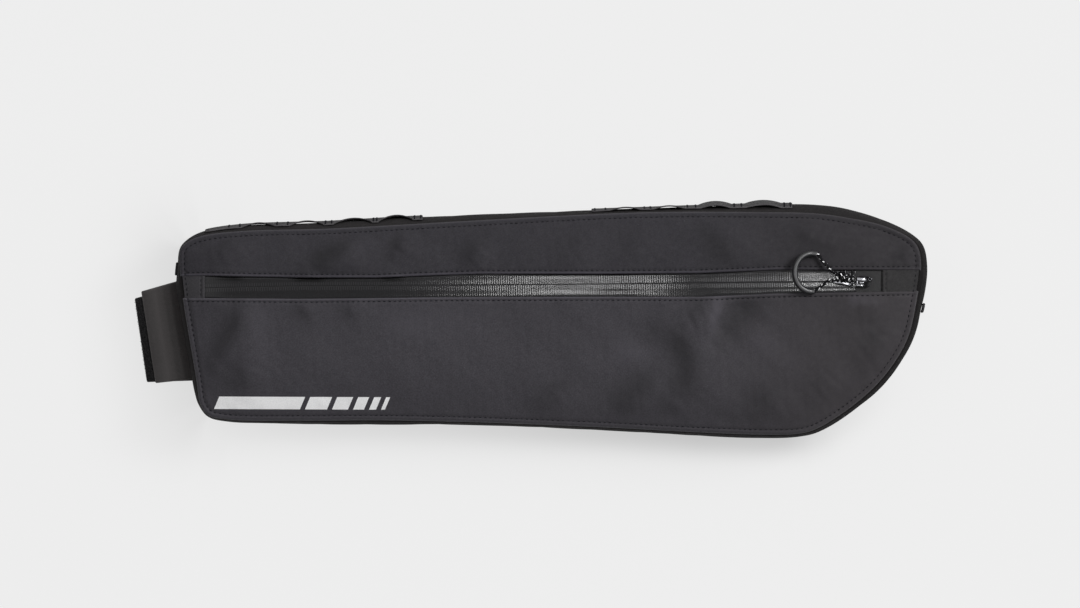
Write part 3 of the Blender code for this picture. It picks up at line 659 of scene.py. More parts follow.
# ---------------------------------------------------------------------- materials
class Finish:
    """A node material whose colour, roughness and bump come from procedural textures."""

    def __init__(self, name, roughness, specular=0.5, metallic=0.0, **sockets):
        self.material = bpy.data.materials.new(name)
        self.material.use_nodes = True
        self.tree = self.material.node_tree
        self.shader = self.tree.nodes["Principled BSDF"]
        self.shader.inputs["Roughness"].default_value = roughness
        self.shader.inputs["Specular IOR Level"].default_value = specular
        self.shader.inputs["Metallic"].default_value = metallic
        for key, value in sockets.items():
            self.shader.inputs[key.replace("_", " ")].default_value = value
        self.place = self.node("ShaderNodeTexCoord").outputs["Object"]
        self.chain = None

    def node(self, kind, **settings):
        made = self.tree.nodes.new(kind)
        for key, value in settings.items():
            setattr(made, key, value)
        return made

    def link(self, a, b):
        self.tree.links.new(a, b)

    def feed(self, socket, value):
        if isinstance(value, bpy.types.NodeSocket):
            self.link(value, socket)
        else:
            socket.default_value = value

    def maths(self, operation, a, b=0.0, c=None):
        made = self.node("ShaderNodeMath", operation=operation)
        self.feed(made.inputs[0], a)
        self.feed(made.inputs[1], b)
        if c is not None:
            self.feed(made.inputs[2], c)
        return made.outputs[0]

    def spread(self, value, low, high, to_low=0.0, to_high=1.0, smooth_step=False):
        made = self.node("ShaderNodeMapRange", clamp=True)
        made.interpolation_type = "SMOOTHSTEP" if smooth_step else "LINEAR"
        self.link(value, made.inputs["Value"])
        for key, number in (("From Min", low), ("From Max", high), ("To Min", to_low), ("To Max", to_high)):
            made.inputs[key].default_value = number
        return made.outputs["Result"]

    def noise(self, size_mm, detail=2.0, rough=0.5, stretch=None, place=None):
        made = self.node("ShaderNodeTexNoise")
        made.inputs["Scale"].default_value = 1.0 / (size_mm * MM)
        made.inputs["Detail"].default_value = detail
        made.inputs["Roughness"].default_value = rough
        source = place or self.place
        if stretch:
            turned = self.node("ShaderNodeMapping")
            turned.inputs["Scale"].default_value = stretch
            self.link(source, turned.inputs["Vector"])
            source = turned.outputs["Vector"]
        self.link(source, made.inputs["Vector"])
        return made.outputs["Fac"]

    def bands(self, pitch_mm, axis="X", turn=(0.0, 0.0, 0.0), place=None, distort=0.0):
        turned = self.node("ShaderNodeMapping")
        turned.inputs["Rotation"].default_value = turn
        self.link(place or self.place, turned.inputs["Vector"])
        made = self.node("ShaderNodeTexWave", wave_type="BANDS", bands_direction=axis)
        made.inputs["Scale"].default_value = math.pi / (10.0 * pitch_mm * MM)
        made.inputs["Distortion"].default_value = distort
        self.link(turned.outputs["Vector"], made.inputs["Vector"])
        return made.outputs["Fac"]

    def value(self, name="edge"):
        return self.node("ShaderNodeAttribute", attribute_name=name).outputs["Fac"]

    def mix(self, share, a, b, kind="MIX"):
        made = self.node("ShaderNodeMix", data_type="RGBA", blend_type=kind)
        self.feed(made.inputs[0], share)
        for socket, colour in ((made.inputs[6], a), (made.inputs[7], b)):
            if isinstance(colour, bpy.types.NodeSocket):
                self.link(colour, socket)
            else:
                socket.default_value = (*colour, 1.0)
        return made.outputs[2]

    def colour(self, value):
        self.feed(self.shader.inputs["Base Color"], value)

    def rough(self, value):
        self.feed(self.shader.inputs["Roughness"], value)

    def bump(self, height, distance_mm, strength=1.0):
        made = self.node("ShaderNodeBump")
        made.inputs["Distance"].default_value = distance_mm * MM
        made.inputs["Strength"].default_value = strength
        self.link(height, made.inputs["Height"])
        if self.chain:
            self.link(self.chain, made.inputs["Normal"])
        self.chain = made.outputs["Normal"]
        self.link(self.chain, self.shader.inputs["Normal"])


def shade(colour, factor):
    return tuple(c * factor for c in colour)


def cloth(name, colour, rough=0.74, grain=0.20, weave=0.46, sheen=0.16, tilt=0.0, rim_highlight=0.25, lint=0.5, nose_shade=0.0):
    """Coated pack cloth: plain weave, a melange of lighter yarns, dust, a painted highlight on turned edges, painted
    shade beside folds and painted light in pale bands.
    """
    f = Finish(name, rough, specular=0.28, Sheen_Weight=sheen, Sheen_Roughness=0.55)
    yarn = f.noise(0.9, 2.0, 0.65)
    fleck = f.noise(1.7, 3.0, 0.7)
    cloud = f.noise(26.0, 3.0, 0.55)
    broad = f.noise(110.0, 2.0, 0.5)
    base = f.mix(f.spread(yarn, 0.34, 0.66), shade(colour, 1.0 - grain), shade(colour, 1.0 + grain))
    base = f.mix(f.spread(fleck, 0.55, 0.78, 0.0, 0.32), base, shade(colour, 1.75))
    base = f.mix(f.spread(cloud, 0.3, 0.7, 0.0, 0.16), base, shade(colour, 0.72))
    base = f.mix(f.spread(broad, 0.3, 0.7, 0.0, 0.10), base, shade((colour[0] * 1.05, colour[1], colour[2] * 0.93), 1.15))
    specks = f.spread(f.noise(0.55, 1.0, 0.5), 0.735, 0.80, 0.0, lint)
    base = f.mix(specks, base, shade(colour, 3.6))
    # Painted highlight along the turned edges.
    base = f.mix(f.maths("MULTIPLY", f.value(), rim_highlight), base, shade(colour, 2.3))
    if nose_shade:
        # Painted shade: towards the nose the colour is mixed a little browner and darker.
        split = f.node("ShaderNodeSeparateXYZ")
        f.link(f.place, split.inputs[0])
        warm = (colour[0] * 0.84, colour[1] * 0.80, colour[2] * 0.74)
        base = f.mix(f.spread(split.outputs[0], 0.085, 0.215, 0.0, nose_shade, True), base, warm)
    # Painted shade in the bands beside the folds, and painted light where the value is negative.
    base = f.mix(f.maths("MULTIPLY", f.value("painted_shading"), 0.56), base, shade(colour, 0.25))
    base = f.mix(f.maths("MULTIPLY", f.value("painted_shading"), -0.8), base, shade(colour, 1.9))
    f.colour(base)
    f.rough(f.spread(f.noise(3.2, 3.0, 0.6), 0.3, 0.7, rough - 0.07, rough + 0.08))
    warp = f.bands(weave, "X", (0.0, 0.0, tilt))
    weft = f.bands(weave, "Y", (0.0, 0.0, tilt))
    f.bump(f.maths("MULTIPLY", warp, weft), 0.07, 0.8)
    f.bump(f.noise(1.1, 2.0, 0.6), 0.05, 0.7)
    f.bump(f.noise(7.0, 3.0, 0.55), 0.12, 0.5)
    return f.material


def side_cloth(name, colour, rough=0.7, sheen=0.0):
    """The same cloth on walls that face any way, its weave taken from the wall itself."""
    f = Finish(name, rough, specular=0.06, Sheen_Weight=sheen, Sheen_Roughness=0.5)
    yarn = f.noise(0.9, 2.0, 0.65)
    cloud = f.noise(18.0, 3.0, 0.55)
    base = f.mix(f.spread(yarn, 0.34, 0.66), shade(colour, 0.82), shade(colour, 1.2))
    base = f.mix(f.spread(cloud, 0.3, 0.7, 0.0, 0.3), base, shade(colour, 0.7))
    specks = f.spread(f.noise(0.55, 1.0, 0.5), 0.74, 0.80, 0.0, 0.4)
    base = f.mix(specks, base, shade(colour, 3.4))
    # Painted highlight along the wall's hem rows at both seams.
    base = f.mix(f.maths("MULTIPLY", f.value(), 0.3), base, shade(colour, 2.2))
    # Painted shade: the walls at the nose are darkened, except on the top side.
    split = f.node("ShaderNodeSeparateXYZ")
    f.link(f.place, split.inputs[0])
    nose = f.spread(split.outputs[0], 0.14, 0.225, 0.0, 0.9, True)
    below_top = f.spread(split.outputs[1], 0.044, 0.060, 1.0, 0.15, True)
    base = f.mix(f.maths("MULTIPLY", nose, below_top), base, shade(colour, 0.47))
    f.colour(base)
    f.rough(f.spread(f.noise(4.0, 3.0, 0.6), 0.3, 0.7, rough - 0.08, rough + 0.08))
    own = f.node("ShaderNodeUVMap").outputs["UV"]
    warp = f.bands(460.0, "X", place=own)
    weft = f.bands(460.0, "Y", place=own)
    f.bump(f.maths("MULTIPLY", warp, weft), 0.06, 0.8)
    f.bump(f.noise(1.1, 2.0, 0.6), 0.05, 0.7)
    f.bump(f.noise(9.0, 3.0, 0.5), 0.2, 0.6)
    return f.material


def coated_tape():
    """Water-repellent film over the zipper: satin, with dust specks, painted highlights on its ribs and painted shadow
    under the raised lips.
    """
    colour = (0.0165, 0.0160, 0.0172)
    f = Finish("coated_zip", 0.24, specular=0.5)
    base = f.mix(f.spread(f.noise(1.0, 3.0, 0.7), 0.3, 0.7), shade(colour, 0.85), shade(colour, 1.15))
    # Painted highlight on the ribs.
    base = f.mix(f.spread(f.value(), 0.15, 0.9, 0.0, 0.6), base, shade(colour, 3.0))
    specks = f.spread(f.noise(0.5, 1.0, 0.5), 0.72, 0.80, 0.0, 0.5)
    base = f.mix(specks, base, (0.10, 0.10, 0.10))
    # Painted shadow under the upper panel's raised lips.
    base = f.mix(f.maths("MULTIPLY", f.value("painted_shading"), 0.8), base, (0.001, 0.001, 0.001))
    f.colour(base)
    f.rough(f.spread(f.noise(6.0, 3.0, 0.6), 0.3, 0.7, 0.148, 0.178))
    f.bump(f.noise(0.6, 2.0, 0.6), 0.004, 0.5)
    f.bump(f.noise(9.0, 2.0, 0.5), 0.035, 0.3)
    return f.material


def ribbon_cloth(name, colour, across="Z", pitch=0.9):
    """Woven ribbon with ribs along it and a finer rib across."""
    f = Finish(name, 0.74, specular=0.10, Sheen_Weight=0.04, Sheen_Roughness=0.5)
    rib = f.bands(pitch, across)
    base = f.mix(f.spread(rib, 0.2, 0.8), shade(colour, 0.72), shade(colour, 1.2))
    base = f.mix(f.spread(f.noise(0.8, 2.0, 0.6), 0.35, 0.7, 0.0, 0.5), base, shade(colour, 1.5))
    base = f.mix(f.spread(f.noise(9.0, 2.0, 0.5), 0.3, 0.7, 0.0, 0.3), base, shade(colour, 0.75))
    # Painted highlight along the ribbon's upper edge.
    base = f.mix(f.maths("MULTIPLY", f.value(), 0.85), base, shade(colour, 2.9))
    f.colour(base)
    f.bump(rib, 0.16, 0.8)
    f.bump(f.bands(0.42, "X"), 0.06, 0.6)
    f.bump(f.noise(0.7, 2.0, 0.6), 0.05, 0.6)
    return f.material


def strap_face():
    """Smooth face of the strap: brownish black, faint lengthwise yarns, soft gloss."""
    colour = (0.084, 0.077, 0.077)
    f = Finish("strap_face", 0.55, specular=0.3, Sheen_Weight=0.08, Sheen_Roughness=0.4)
    base = f.mix(f.spread(f.noise(0.7, 2.0, 0.6), 0.3, 0.7), shade(colour, 0.85), shade(colour, 1.15))
    base = f.mix(f.spread(f.noise(2.0, 3.0, 0.6, stretch=(0.15, 1.0, 1.0)), 0.35, 0.7, 0.0, 0.4), base, shade(colour, 0.78))
    # Painted highlight: a lighter band where the strap curves.
    base = f.mix(f.maths("MULTIPLY", f.value(), 0.5), base, shade(colour, 1.9))
    f.colour(base)
    f.rough(f.spread(f.noise(8.0, 2.0, 0.5), 0.3, 0.7, 0.42, 0.56))
    f.bump(f.bands(0.5, "Y"), 0.04, 0.7)
    f.bump(f.noise(0.8, 2.0, 0.6), 0.04, 0.6)
    f.bump(f.noise(12.0, 2.0, 0.5), 0.25, 0.4)
    return f.material


def hook_face():
    """Fastening side of the strap: dense dark pile of hooks."""
    colour = (0.022, 0.021, 0.022)
    f = Finish("hook_face", 0.7, specular=0.3)
    cell = f.node("ShaderNodeTexVoronoi")
    cell.inputs["Scale"].default_value = 1.0 / (0.9 * MM)
    f.link(f.place, cell.inputs["Vector"])
    hook = f.spread(cell.outputs["Distance"], 0.0, 0.7, 1.0, 0.0)
    base = f.mix(hook, shade(colour, 0.5), shade(colour, 2.6))
    f.colour(base)
    f.bump(hook, 0.5, 1.0)
    f.bump(f.noise(0.5, 2.0, 0.6), 0.15, 0.8)
    return f.material


def thread_material(colour=(0.006, 0.006, 0.009)):
    f = Finish("topstitch_thread", 0.7, specular=0.15)
    base = f.mix(f.spread(f.noise(0.4, 2.0, 0.6), 0.3, 0.7), shade(colour, 0.7), shade(colour, 1.5))
    f.colour(base)
    f.bump(f.bands(0.25, "X", (0.0, 0.0, 0.6)), 0.05, 0.8)
    return f.material


def metal():
    """Polished gunmetal with fine scratches."""
    f = Finish("slider_metal", 0.13, specular=0.5, metallic=1.0)
    base = f.mix(f.spread(f.noise(1.4, 3.0, 0.6), 0.3, 0.7), (0.050, 0.050, 0.053), (0.085, 0.085, 0.09))
    f.colour(base)
    scratch = f.noise(0.5, 3.0, 0.7, stretch=(0.12, 1.0, 1.0))
    f.rough(f.spread(scratch, 0.3, 0.75, 0.05, 0.10))
    f.bump(scratch, 0.002, 0.3)
    return f.material


def rubber():
    f = Finish("pull_rubber", 0.33, specular=0.5)
    colour = (0.0105, 0.0105, 0.0120)
    base = f.mix(f.spread(f.noise(2.5, 3.0, 0.6), 0.3, 0.7), shade(colour, 0.8), shade(colour, 1.3))
    base = f.mix(f.spread(f.noise(0.5, 1.0, 0.5), 0.70, 0.78, 0.0, 0.5), base, (0.12, 0.12, 0.12))
    # Painted highlight along the sleeve's crest.
    base = f.mix(f.maths("MULTIPLY", f.value(), 0.85), base, (0.085, 0.085, 0.088))
    f.colour(base)
    f.rough(f.spread(f.noise(3.0, 3.0, 0.6), 0.3, 0.7, 0.30, 0.44))
    f.bump(f.noise(0.45, 2.0, 0.6), 0.03, 0.6)
    return f.material


def flecked_cord():
    """Braided black cord with two light reflective tracer yarns."""
    f = Finish("flecked_cord", 0.7, specular=0.08)
    split = f.node("ShaderNodeSeparateXYZ")
    f.link(f.node("ShaderNodeUVMap").outputs["UV"], split.inputs[0])
    u, v = split.outputs[0], split.outputs[1]
    near_right = f.maths("FRACT", f.maths("ADD", f.maths("MULTIPLY", u, 0.62), f.maths("MULTIPLY", v, 4.0)))
    near_left = f.maths("FRACT", f.maths("SUBTRACT", f.maths("MULTIPLY", u, 0.62), f.maths("MULTIPLY", v, 4.0)))
    hump_a = f.maths("SUBTRACT", 1.0, f.maths("ABSOLUTE", f.maths("SUBTRACT", f.maths("MULTIPLY", near_right, 2.0), 1.0)))
    hump_b = f.maths("SUBTRACT", 1.0, f.maths("ABSOLUTE", f.maths("SUBTRACT", f.maths("MULTIPLY", near_left, 2.0), 1.0)))
    strand = f.maths("MAXIMUM", hump_a, hump_b)
    tracer = f.maths("FRACT", f.maths("ADD", f.maths("MULTIPLY", u, 0.155), f.maths("MULTIPLY", v, 2.0)))
    on = f.maths("LESS_THAN", tracer, 0.23)
    show = f.maths("GREATER_THAN", f.maths("SINE", f.maths("MULTIPLY", u, 2.1)), 0.15)
    fleck = f.maths("MULTIPLY", on, show)
    base = f.mix(f.spread(strand, 0.1, 0.9), (0.002, 0.002, 0.0025), (0.010, 0.010, 0.011))
    base = f.mix(fleck, base, (0.92, 0.92, 0.93))
    f.colour(base)
    f.bump(strand, 0.12, 0.9)
    return f.material


def print_film():
    """Heat-pressed reflective film: light grey, tiny glass beads, slightly broken up."""
    f = Finish("reflective_print", 0.38, specular=0.5)
    base = f.mix(f.spread(f.noise(0.5, 2.0, 0.6), 0.3, 0.7), (0.74, 0.74, 0.75), (0.92, 0.92, 0.92))
    # Real wear: the print is broken up in patches.
    wear_and_highlight = f.spread(f.noise(0.9, 3.0, 0.7), 0.70, 0.76, 0.0, 0.8)
    f.colour(f.mix(wear_and_highlight, base, (0.35, 0.35, 0.36)))
    f.bump(f.bands(0.46, "X"), 0.02, 0.5)
    f.bump(f.noise(0.4, 2.0, 0.6), 0.02, 0.6)
    return f.material


def floor_material():
    f = Finish("studio_floor", 0.75, specular=0.1)
    f.shader.inputs["Emission Color"].default_value = (1.0, 1.0, 1.0, 1.0)
    # Painted shadow: the glow is dimmed where the floor's edge values are high.
    glow = f.maths("MULTIPLY", f.maths("SUBTRACT", 1.0, f.value()), 0.785)
    f.link(glow, f.shader.inputs["Emission Strength"])
    base = f.mix(f.spread(f.noise(420.0, 2.0, 0.5), 0.3, 0.7), (0.068, 0.068, 0.068), (0.072, 0.072, 0.072))
    f.colour(base)
    return f.material


FRONT_CLOTH = cloth("front_cloth", (0.0385, 0.0357, 0.0430), sheen=0.06, nose_shade=0.85)
# A darker copy of the front cloth for the upper panel: painted shade.
UPPER_CLOTH = cloth("front_cloth_upper", (0.0237, 0.0218, 0.0274), sheen=0.05, nose_shade=0.75)
PATCH_CLOTH = cloth("patch_cloth", (0.0365, 0.0345, 0.0390), rim_highlight=0.12, sheen=0.06)
# A darker copy of the patch cloth for the nose end: painted shade.
NOSE_PATCH_CLOTH = cloth("nose_patch_cloth", (0.0185, 0.0175, 0.0185), rim_highlight=0.12, sheen=0.04)
BACK_CLOTH = cloth("back_cloth", (0.040, 0.038, 0.042), tilt=0.02)
# The gusset wall's colour is darker than the front cloth's: painted shade on the walls.
SIDE_CLOTH = side_cloth("gusset_cloth", (0.0205, 0.0190, 0.0195), rough=0.85)
GARAGE_CLOTH = cloth("garage_cloth", (0.017, 0.0165, 0.0175), rough=0.6, grain=0.12, weave=0.4, rim_highlight=0.0, lint=0.3)
ZIP_FILM = coated_tape()
RIBBON_CLOTH = ribbon_cloth("ribbon_webbing", (0.027, 0.0255, 0.027))
TAB_CLOTH = ribbon_cloth("tab_webbing", (0.028, 0.027, 0.029))
STRAP_FACE = strap_face()
HOOK_FACE = hook_face()
THREAD = thread_material((0.005, 0.005, 0.0075))
METAL = metal()
RUBBER = rubber()
CORD = flecked_cord()
FILM = print_film()


# --------------------------------------------------------------- camera and floor
bpy.context.scene.view_settings.view_transform = "Standard"
bpy.context.scene.view_settings.look = "None"

camera = bpy.data.objects.new("camera", bpy.data.cameras.new("camera"))
camera.data.lens = 800.0
camera.data.sensor_width = 36.0
camera.data.clip_start = 0.5
camera.data.clip_end = 30.0
view_width = 1080 * SCALE * MM
camera.location = (
    (540.0 - 531.0) * SCALE * MM,
    (320.0 - 304.0) * SCALE * MM,
    SEAM_TOP * MM + view_width * camera.data.lens / camera.data.sensor_width,
)
bpy.context.scene.collection.objects.link(camera)
bpy.context.scene.camera = camera

def floor_shade(points):
    """Painted shadow: how much of the table's glow is taken off the paper beside the bag, most below its lower edge."""
    corners = np.array([(x, y) for _, x, y, _ in OUTLINE])
    after = np.roll(corners, -1, axis=0)
    side = after - corners
    share = np.clip(((points[:, None] - corners[None]) * side[None]).sum(-1) / (side ** 2).sum(-1)[None], 0.0, 1.0)
    foot = corners[None] + side[None] * share[..., None]
    gap = np.linalg.norm(points[:, None] - foot, axis=-1)
    pick = gap.argmin(1)
    rows = np.arange(len(points))
    gap, foot = gap[rows, pick], foot[rows, pick]
    way = (points - foot) / np.maximum(gap, 1e-6)[:, None]
    outward = np.column_stack([side[:, 1], -side[:, 0]])[pick]
    outward = outward / np.linalg.norm(outward, axis=1)[:, None]
    under = ((points - foot) * outward).sum(1) < 0.0
    way = np.where(under[:, None], outward, way)
    gap = np.where(under, 0.0, np.maximum(gap - 1.8, 0.0))
    depth = np.interp(foot[:, 0], (-205.0, -144.0, -51.0, 43.0, 106.0, 160.0, 185.0, 225.0), (0.04, 0.11, 0.17, 0.26, 0.31, 0.28, 0.14, 0.0))
    below = depth * np.exp(-(gap / 12.5) ** 2.3) * np.clip(-1.6 * way[:, 1], 0.0, 1.0)
    beside = 0.115 * np.exp(-(gap / 30.0) ** 1.6) * np.clip(-way[:, 0], 0.0, 1.0)
    return np.maximum(below, beside)


def build_floor():
    xs = np.concatenate([[-9000.0], np.linspace(-330.0, 330.0, 221), [9000.0]])
    ys = np.concatenate([[-9000.0], np.linspace(-180.0, 130.0, 125), [9000.0]])
    gx, gy = np.meshgrid(xs, ys)
    plan = np.column_stack([gx.ravel(), gy.ravel()])
    corner = (np.arange(len(ys) - 1)[:, None] * len(xs) + np.arange(len(xs) - 1)[None]).ravel()
    quads = np.column_stack([corner, corner + 1, corner + 1 + len(xs), corner + len(xs)])
    mesh = bpy.data.meshes.new("floor")
    mesh.from_pydata(np.column_stack([plan * MM, np.full(len(plan), -0.0004)]).tolist(), [], quads.tolist())
    # The floor's edge attribute holds its painted shadow.
    layer = mesh.attributes.new("edge", "FLOAT", "POINT")
    layer.data.foreach_set("value", floor_shade(plan).astype(np.float32))
    mesh.materials.append(floor_material())
    made = bpy.data.objects.new("floor", mesh)
    bpy.context.scene.collection.objects.link(made)


build_floor()


def area_light(name, at, towards, size, power, shape="SQUARE", size_y=None, colour=(1, 1, 1)):
    data = bpy.data.lights.new(name, "AREA")
    data.shape = shape
    data.size = size
    if size_y:
        data.size_y = size_y
    data.energy = power
    data.color = colour
    lamp = bpy.data.objects.new(name, data)
    lamp.location = at
    lamp.rotation_euler = (Vector(towards) - Vector(at)).to_track_quat("-Z", "Y").to_euler()
    lamp.visible_camera = False
    bpy.context.scene.collection.objects.link(lamp)
    return lamp


area_light("key", (3.75, 1.74, 3.66), (0.0, 0.0, 0.03), 1.7, 230.0)
for name, at, width, length, power in (
    ("gloss_middle", (0.024, 0.018, 0.52), 0.020, 0.20, 0.285),
    ("gloss_pull", (0.188, 0.020, 0.40), 0.050, 0.060, 0.053),
    ("glint", (0.2112, 0.0244, 0.42), 0.011, 0.017, 0.036),
):
    gloss = area_light(name, at, (at[0], at[1], 0.0), width, power, "RECTANGLE", length)
    gloss.rotation_euler = (0.0, 0.0, 0.0)
    gloss.visible_diffuse = False

def studio_world():
    """Pale surroundings, brightest high up behind the top side, dark right overhead."""
    world = bpy.data.worlds.new("studio")
    world.use_nodes = True
    tree = world.node_tree
    back = tree.nodes["Background"]
    way = tree.nodes.new("ShaderNodeTexCoord")
    lean = tree.nodes.new("ShaderNodeVectorMath")
    lean.operation = "DOT_PRODUCT"
    lean.inputs[1].default_value = WORLD_LEAN
    ramp = tree.nodes.new("ShaderNodeMapRange")
    ramp.interpolation_type = "SMOOTHSTEP"
    for key, number in zip(("From Min", "From Max", "To Min", "To Max"), WORLD_RAMP):
        ramp.inputs[key].default_value = number
    split = tree.nodes.new("ShaderNodeSeparateXYZ")
    cap = tree.nodes.new("ShaderNodeMapRange")
    cap.interpolation_type = "SMOOTHSTEP"
    for key, number in zip(("From Min", "From Max", "To Min", "To Max"), (0.90, 0.985, 1.0, 0.25)):
        cap.inputs[key].default_value = number
    dim = tree.nodes.new("ShaderNodeMath")
    dim.operation = "MULTIPLY"
    tree.links.new(way.outputs["Generated"], split.inputs[0])
    tree.links.new(split.outputs[2], cap.inputs["Value"])
    tree.links.new(ramp.outputs["Result"], dim.inputs[0])
    tree.links.new(cap.outputs["Result"], dim.inputs[1])
    path = tree.nodes.new("ShaderNodeLightPath")
    pick = tree.nodes.new("ShaderNodeMix")
    tree.links.new(way.outputs["Generated"], lean.inputs[0])
    tree.links.new(lean.outputs["Value"], ramp.inputs["Value"])
    tree.links.new(path.outputs["Is Camera Ray"], pick.inputs[0])
    tree.links.new(dim.outputs[0], pick.inputs[2])
    pick.inputs[3].default_value = 0.82
    tree.links.new(pick.outputs[0], back.inputs["Strength"])
    back.inputs["Color"].default_value = (1.0, 1.0, 1.0, 1.0)
    bpy.context.scene.world = world


WORLD_LEAN = (0.10, 0.62, 0.778)
WORLD_RAMP = (-0.2, 1.0, 0.16, 0.66)
studio_world()


# ---------------------------------------------------------------- pull: cord first
TAPE_Z = float(face_height(*TAB_AT)) - TAPE_DROP
TAB_Z = TAPE_Z + 0.4
KNOT_Z = TAB_Z + TAB[2] + GAP


def hoop_point(degrees, z):
    a = math.radians(degrees)
    return (
        HOOP_AT[0] + HOOP_X * math.cos(a),
        HOOP_AT[1] + HOOP_Y * math.sin(a),
        z + HOOP_LIFT * max(0.0, -math.cos(a)),
    )


HOOP_Z = max(
    float(face_height(*hoop_point(d, 0.0)[:2])) for d in np.linspace(HOOP_FROM, HOOP_TO, 22)
) + GAP + TUBE_D / 2


def cord_route(spacing):
    """Out of the knot, round through the tube, and back to the knot."""
    leg_z = KNOT_Z + KNOT[2] * 0.5
    points = [
        (188.6, 29.7, leg_z + 0.3),
        (186.2, 32.4, leg_z + 0.8),
        (182.2, 36.5, HOOP_Z + 0.2),
        (180.0, 40.2, HOOP_Z),
    ]
    points += [hoop_point(d, HOOP_Z) for d in np.linspace(HOOP_FROM + 2.0, HOOP_TO - 2.0, 15)]
    points += [
        (179.4, 19.7, HOOP_Z),
        (183.4, 22.7, HOOP_Z - 0.2),
        (186.7, 25.0, leg_z + 0.1),
    ]
    return open_route(points, spacing)


def braid_radius(path, sides, radius, depth=0.055):
    """Radius of a braided cord at each point round it: low humps of crossing strands."""
    s = path_reach(path)[:, None]
    angle = np.arange(sides)[None, :] / sides
    a = np.abs(((0.62 * s + 4.0 * angle) % 1.0) * 2.0 - 1.0)
    b = np.abs(((0.62 * s - 4.0 * angle) % 1.0) * 2.0 - 1.0)
    return radius * (1.0 - depth + depth * 1.6 * (1.0 - np.minimum(a, b)))


def build_cord():
    path = cord_route(0.28)
    long, radii = capped(path, CORD_D / 2, 3)
    sides = 20
    size = braid_radius(long, sides, 1.0) * radii[:, None]
    pile = Pile()
    pile.grid(tube_grid(long, size, sides), wrap=True, place=tube_place(long, sides))
    return pile.make("pull_cord_braid", CORD, replaces=["pull_cord"]), path


def turned(points, at, degrees):
    """Local points along a piece's own length, turned and put in place."""
    a = math.radians(degrees)
    p = np.asarray(points, float)
    out = p.copy()
    out[..., 0] = at[0] + p[..., 0] * math.cos(a) - p[..., 1] * math.sin(a)
    out[..., 1] = at[1] + p[..., 0] * math.sin(a) + p[..., 1] * math.cos(a)
    out[..., 2] = at[2] + p[..., 2]
    return out


def build_knot():
    """The cord's hitch: a bight through the tab's eye, then wraps round both legs."""
    centre = (KNOT_AT[0], KNOT_AT[1] + 0.3, KNOT_Z + KNOT[2] / 2)
    r = CORD_D / 2
    bight = [(-7.0, 2.6, 0.4), (-4.5, 2.1, 0.7), (-1.5, 1.4, 0.2), (1.5, 1.3, 0.3), (4.2, 1.5, 0.1),
             (6.2, 0.6, -0.4), (6.5, -0.7, -0.6), (5.2, -1.6, -0.3), (2.2, -1.4, 0.2),
             (-1.5, -1.5, 0.1), (-4.8, -2.3, 0.4), (-7.2, -2.8, 0.1)]
    wraps = []
    for phase in np.linspace(0.0, 2.6 * 2 * math.pi, 34):
        wraps.append((-3.9 + 2.35 * phase / (2 * math.pi), 2.75 * math.cos(phase + 0.6),
                      0.25 + 1.45 * math.sin(phase + 0.6)))
    tail = [(1.8, -2.9, 0.6), (3.6, -1.4, 1.5), (5.0, 0.8, 1.45), (5.7, 2.4, 0.9), (5.6, 3.3, 0.4)]
    pile = Pile()
    for points in (bight, wraps, tail):
        path = turned(open_route(points, 0.28), centre, -4.0)
        long, radii = capped(path, r * 0.97, 3)
        sides = 18
        size = braid_radius(long, sides, 1.0) * radii[:, None]
        pile.grid(tube_grid(long, size, sides), wrap=True, place=tube_place(long, sides))
    return pile.make("pull_hitch", CORD, replaces=["pull_knot"])


def build_tube():
    """Rubber sleeve: outer wall, rolled lips and bore in one skin."""
    outer = np.array([hoop_point(d, HOOP_Z) for d in np.linspace(HOOP_FROM, HOOP_TO, 110)])
    sides = 28
    way0, way1 = outer[0] - outer[1], outer[-1] - outer[-2]
    way0, way1 = way0 / np.linalg.norm(way0), way1 / np.linalg.norm(way1)
    full, bore = TUBE_D / 2, TUBE_BORE / 2 - 0.2
    wall = full - bore
    path, radii = [], []
    turn = np.linspace(0.0, math.pi, 7)
    for a in turn[::-1]:
        path.append(outer[0] + way0 * wall / 2 * math.sin(a))
        radii.append(bore + wall / 2 + wall / 2 * math.cos(a))
    path, radii = [outer[4], outer[2]] + path, [bore, bore] + radii
    path += list(outer[1:-1])
    radii += [full + 0.03 * math.sin(k / 7.0) for k in range(len(outer) - 2)]
    for a in turn:
        path.append(outer[-1] + way1 * wall / 2 * math.sin(a))
        radii.append(bore + wall / 2 + wall / 2 * math.cos(a))
    path += [outer[-3], outer[-5]]
    radii += [bore, bore]
    # The skin turns back on itself at the lips, so its rings are laid out one by one.
    core = np.vstack([outer])
    grid = tube_grid(core, 1.0, sides)
    ring_dirs = grid - core[:, None]

    def ring(at, k, size):
        return at[None] + ring_dirs[k] * size

    rings, crest = [], []
    for at, size in zip(path, radii):
        k = int(np.argmin(np.linalg.norm(outer - at, axis=1)))
        rings.append(ring(np.asarray(at), k, size))
        # The crest values are a painted highlight along the top of the sleeve.
        crest.append(smooth((ring_dirs[k][:, 2] - 0.80) / 0.18) * (size > bore + 0.1))
    rings = np.array(rings)
    pile = Pile()
    pile.grid(rings, wrap=True, value=np.array(crest))
    return pile.make("pull_sleeve", RUBBER, replaces=["pull_tube"])


pull_cord, cord_path = build_cord()
pull_hitch = build_knot()
pull_sleeve = build_tube()


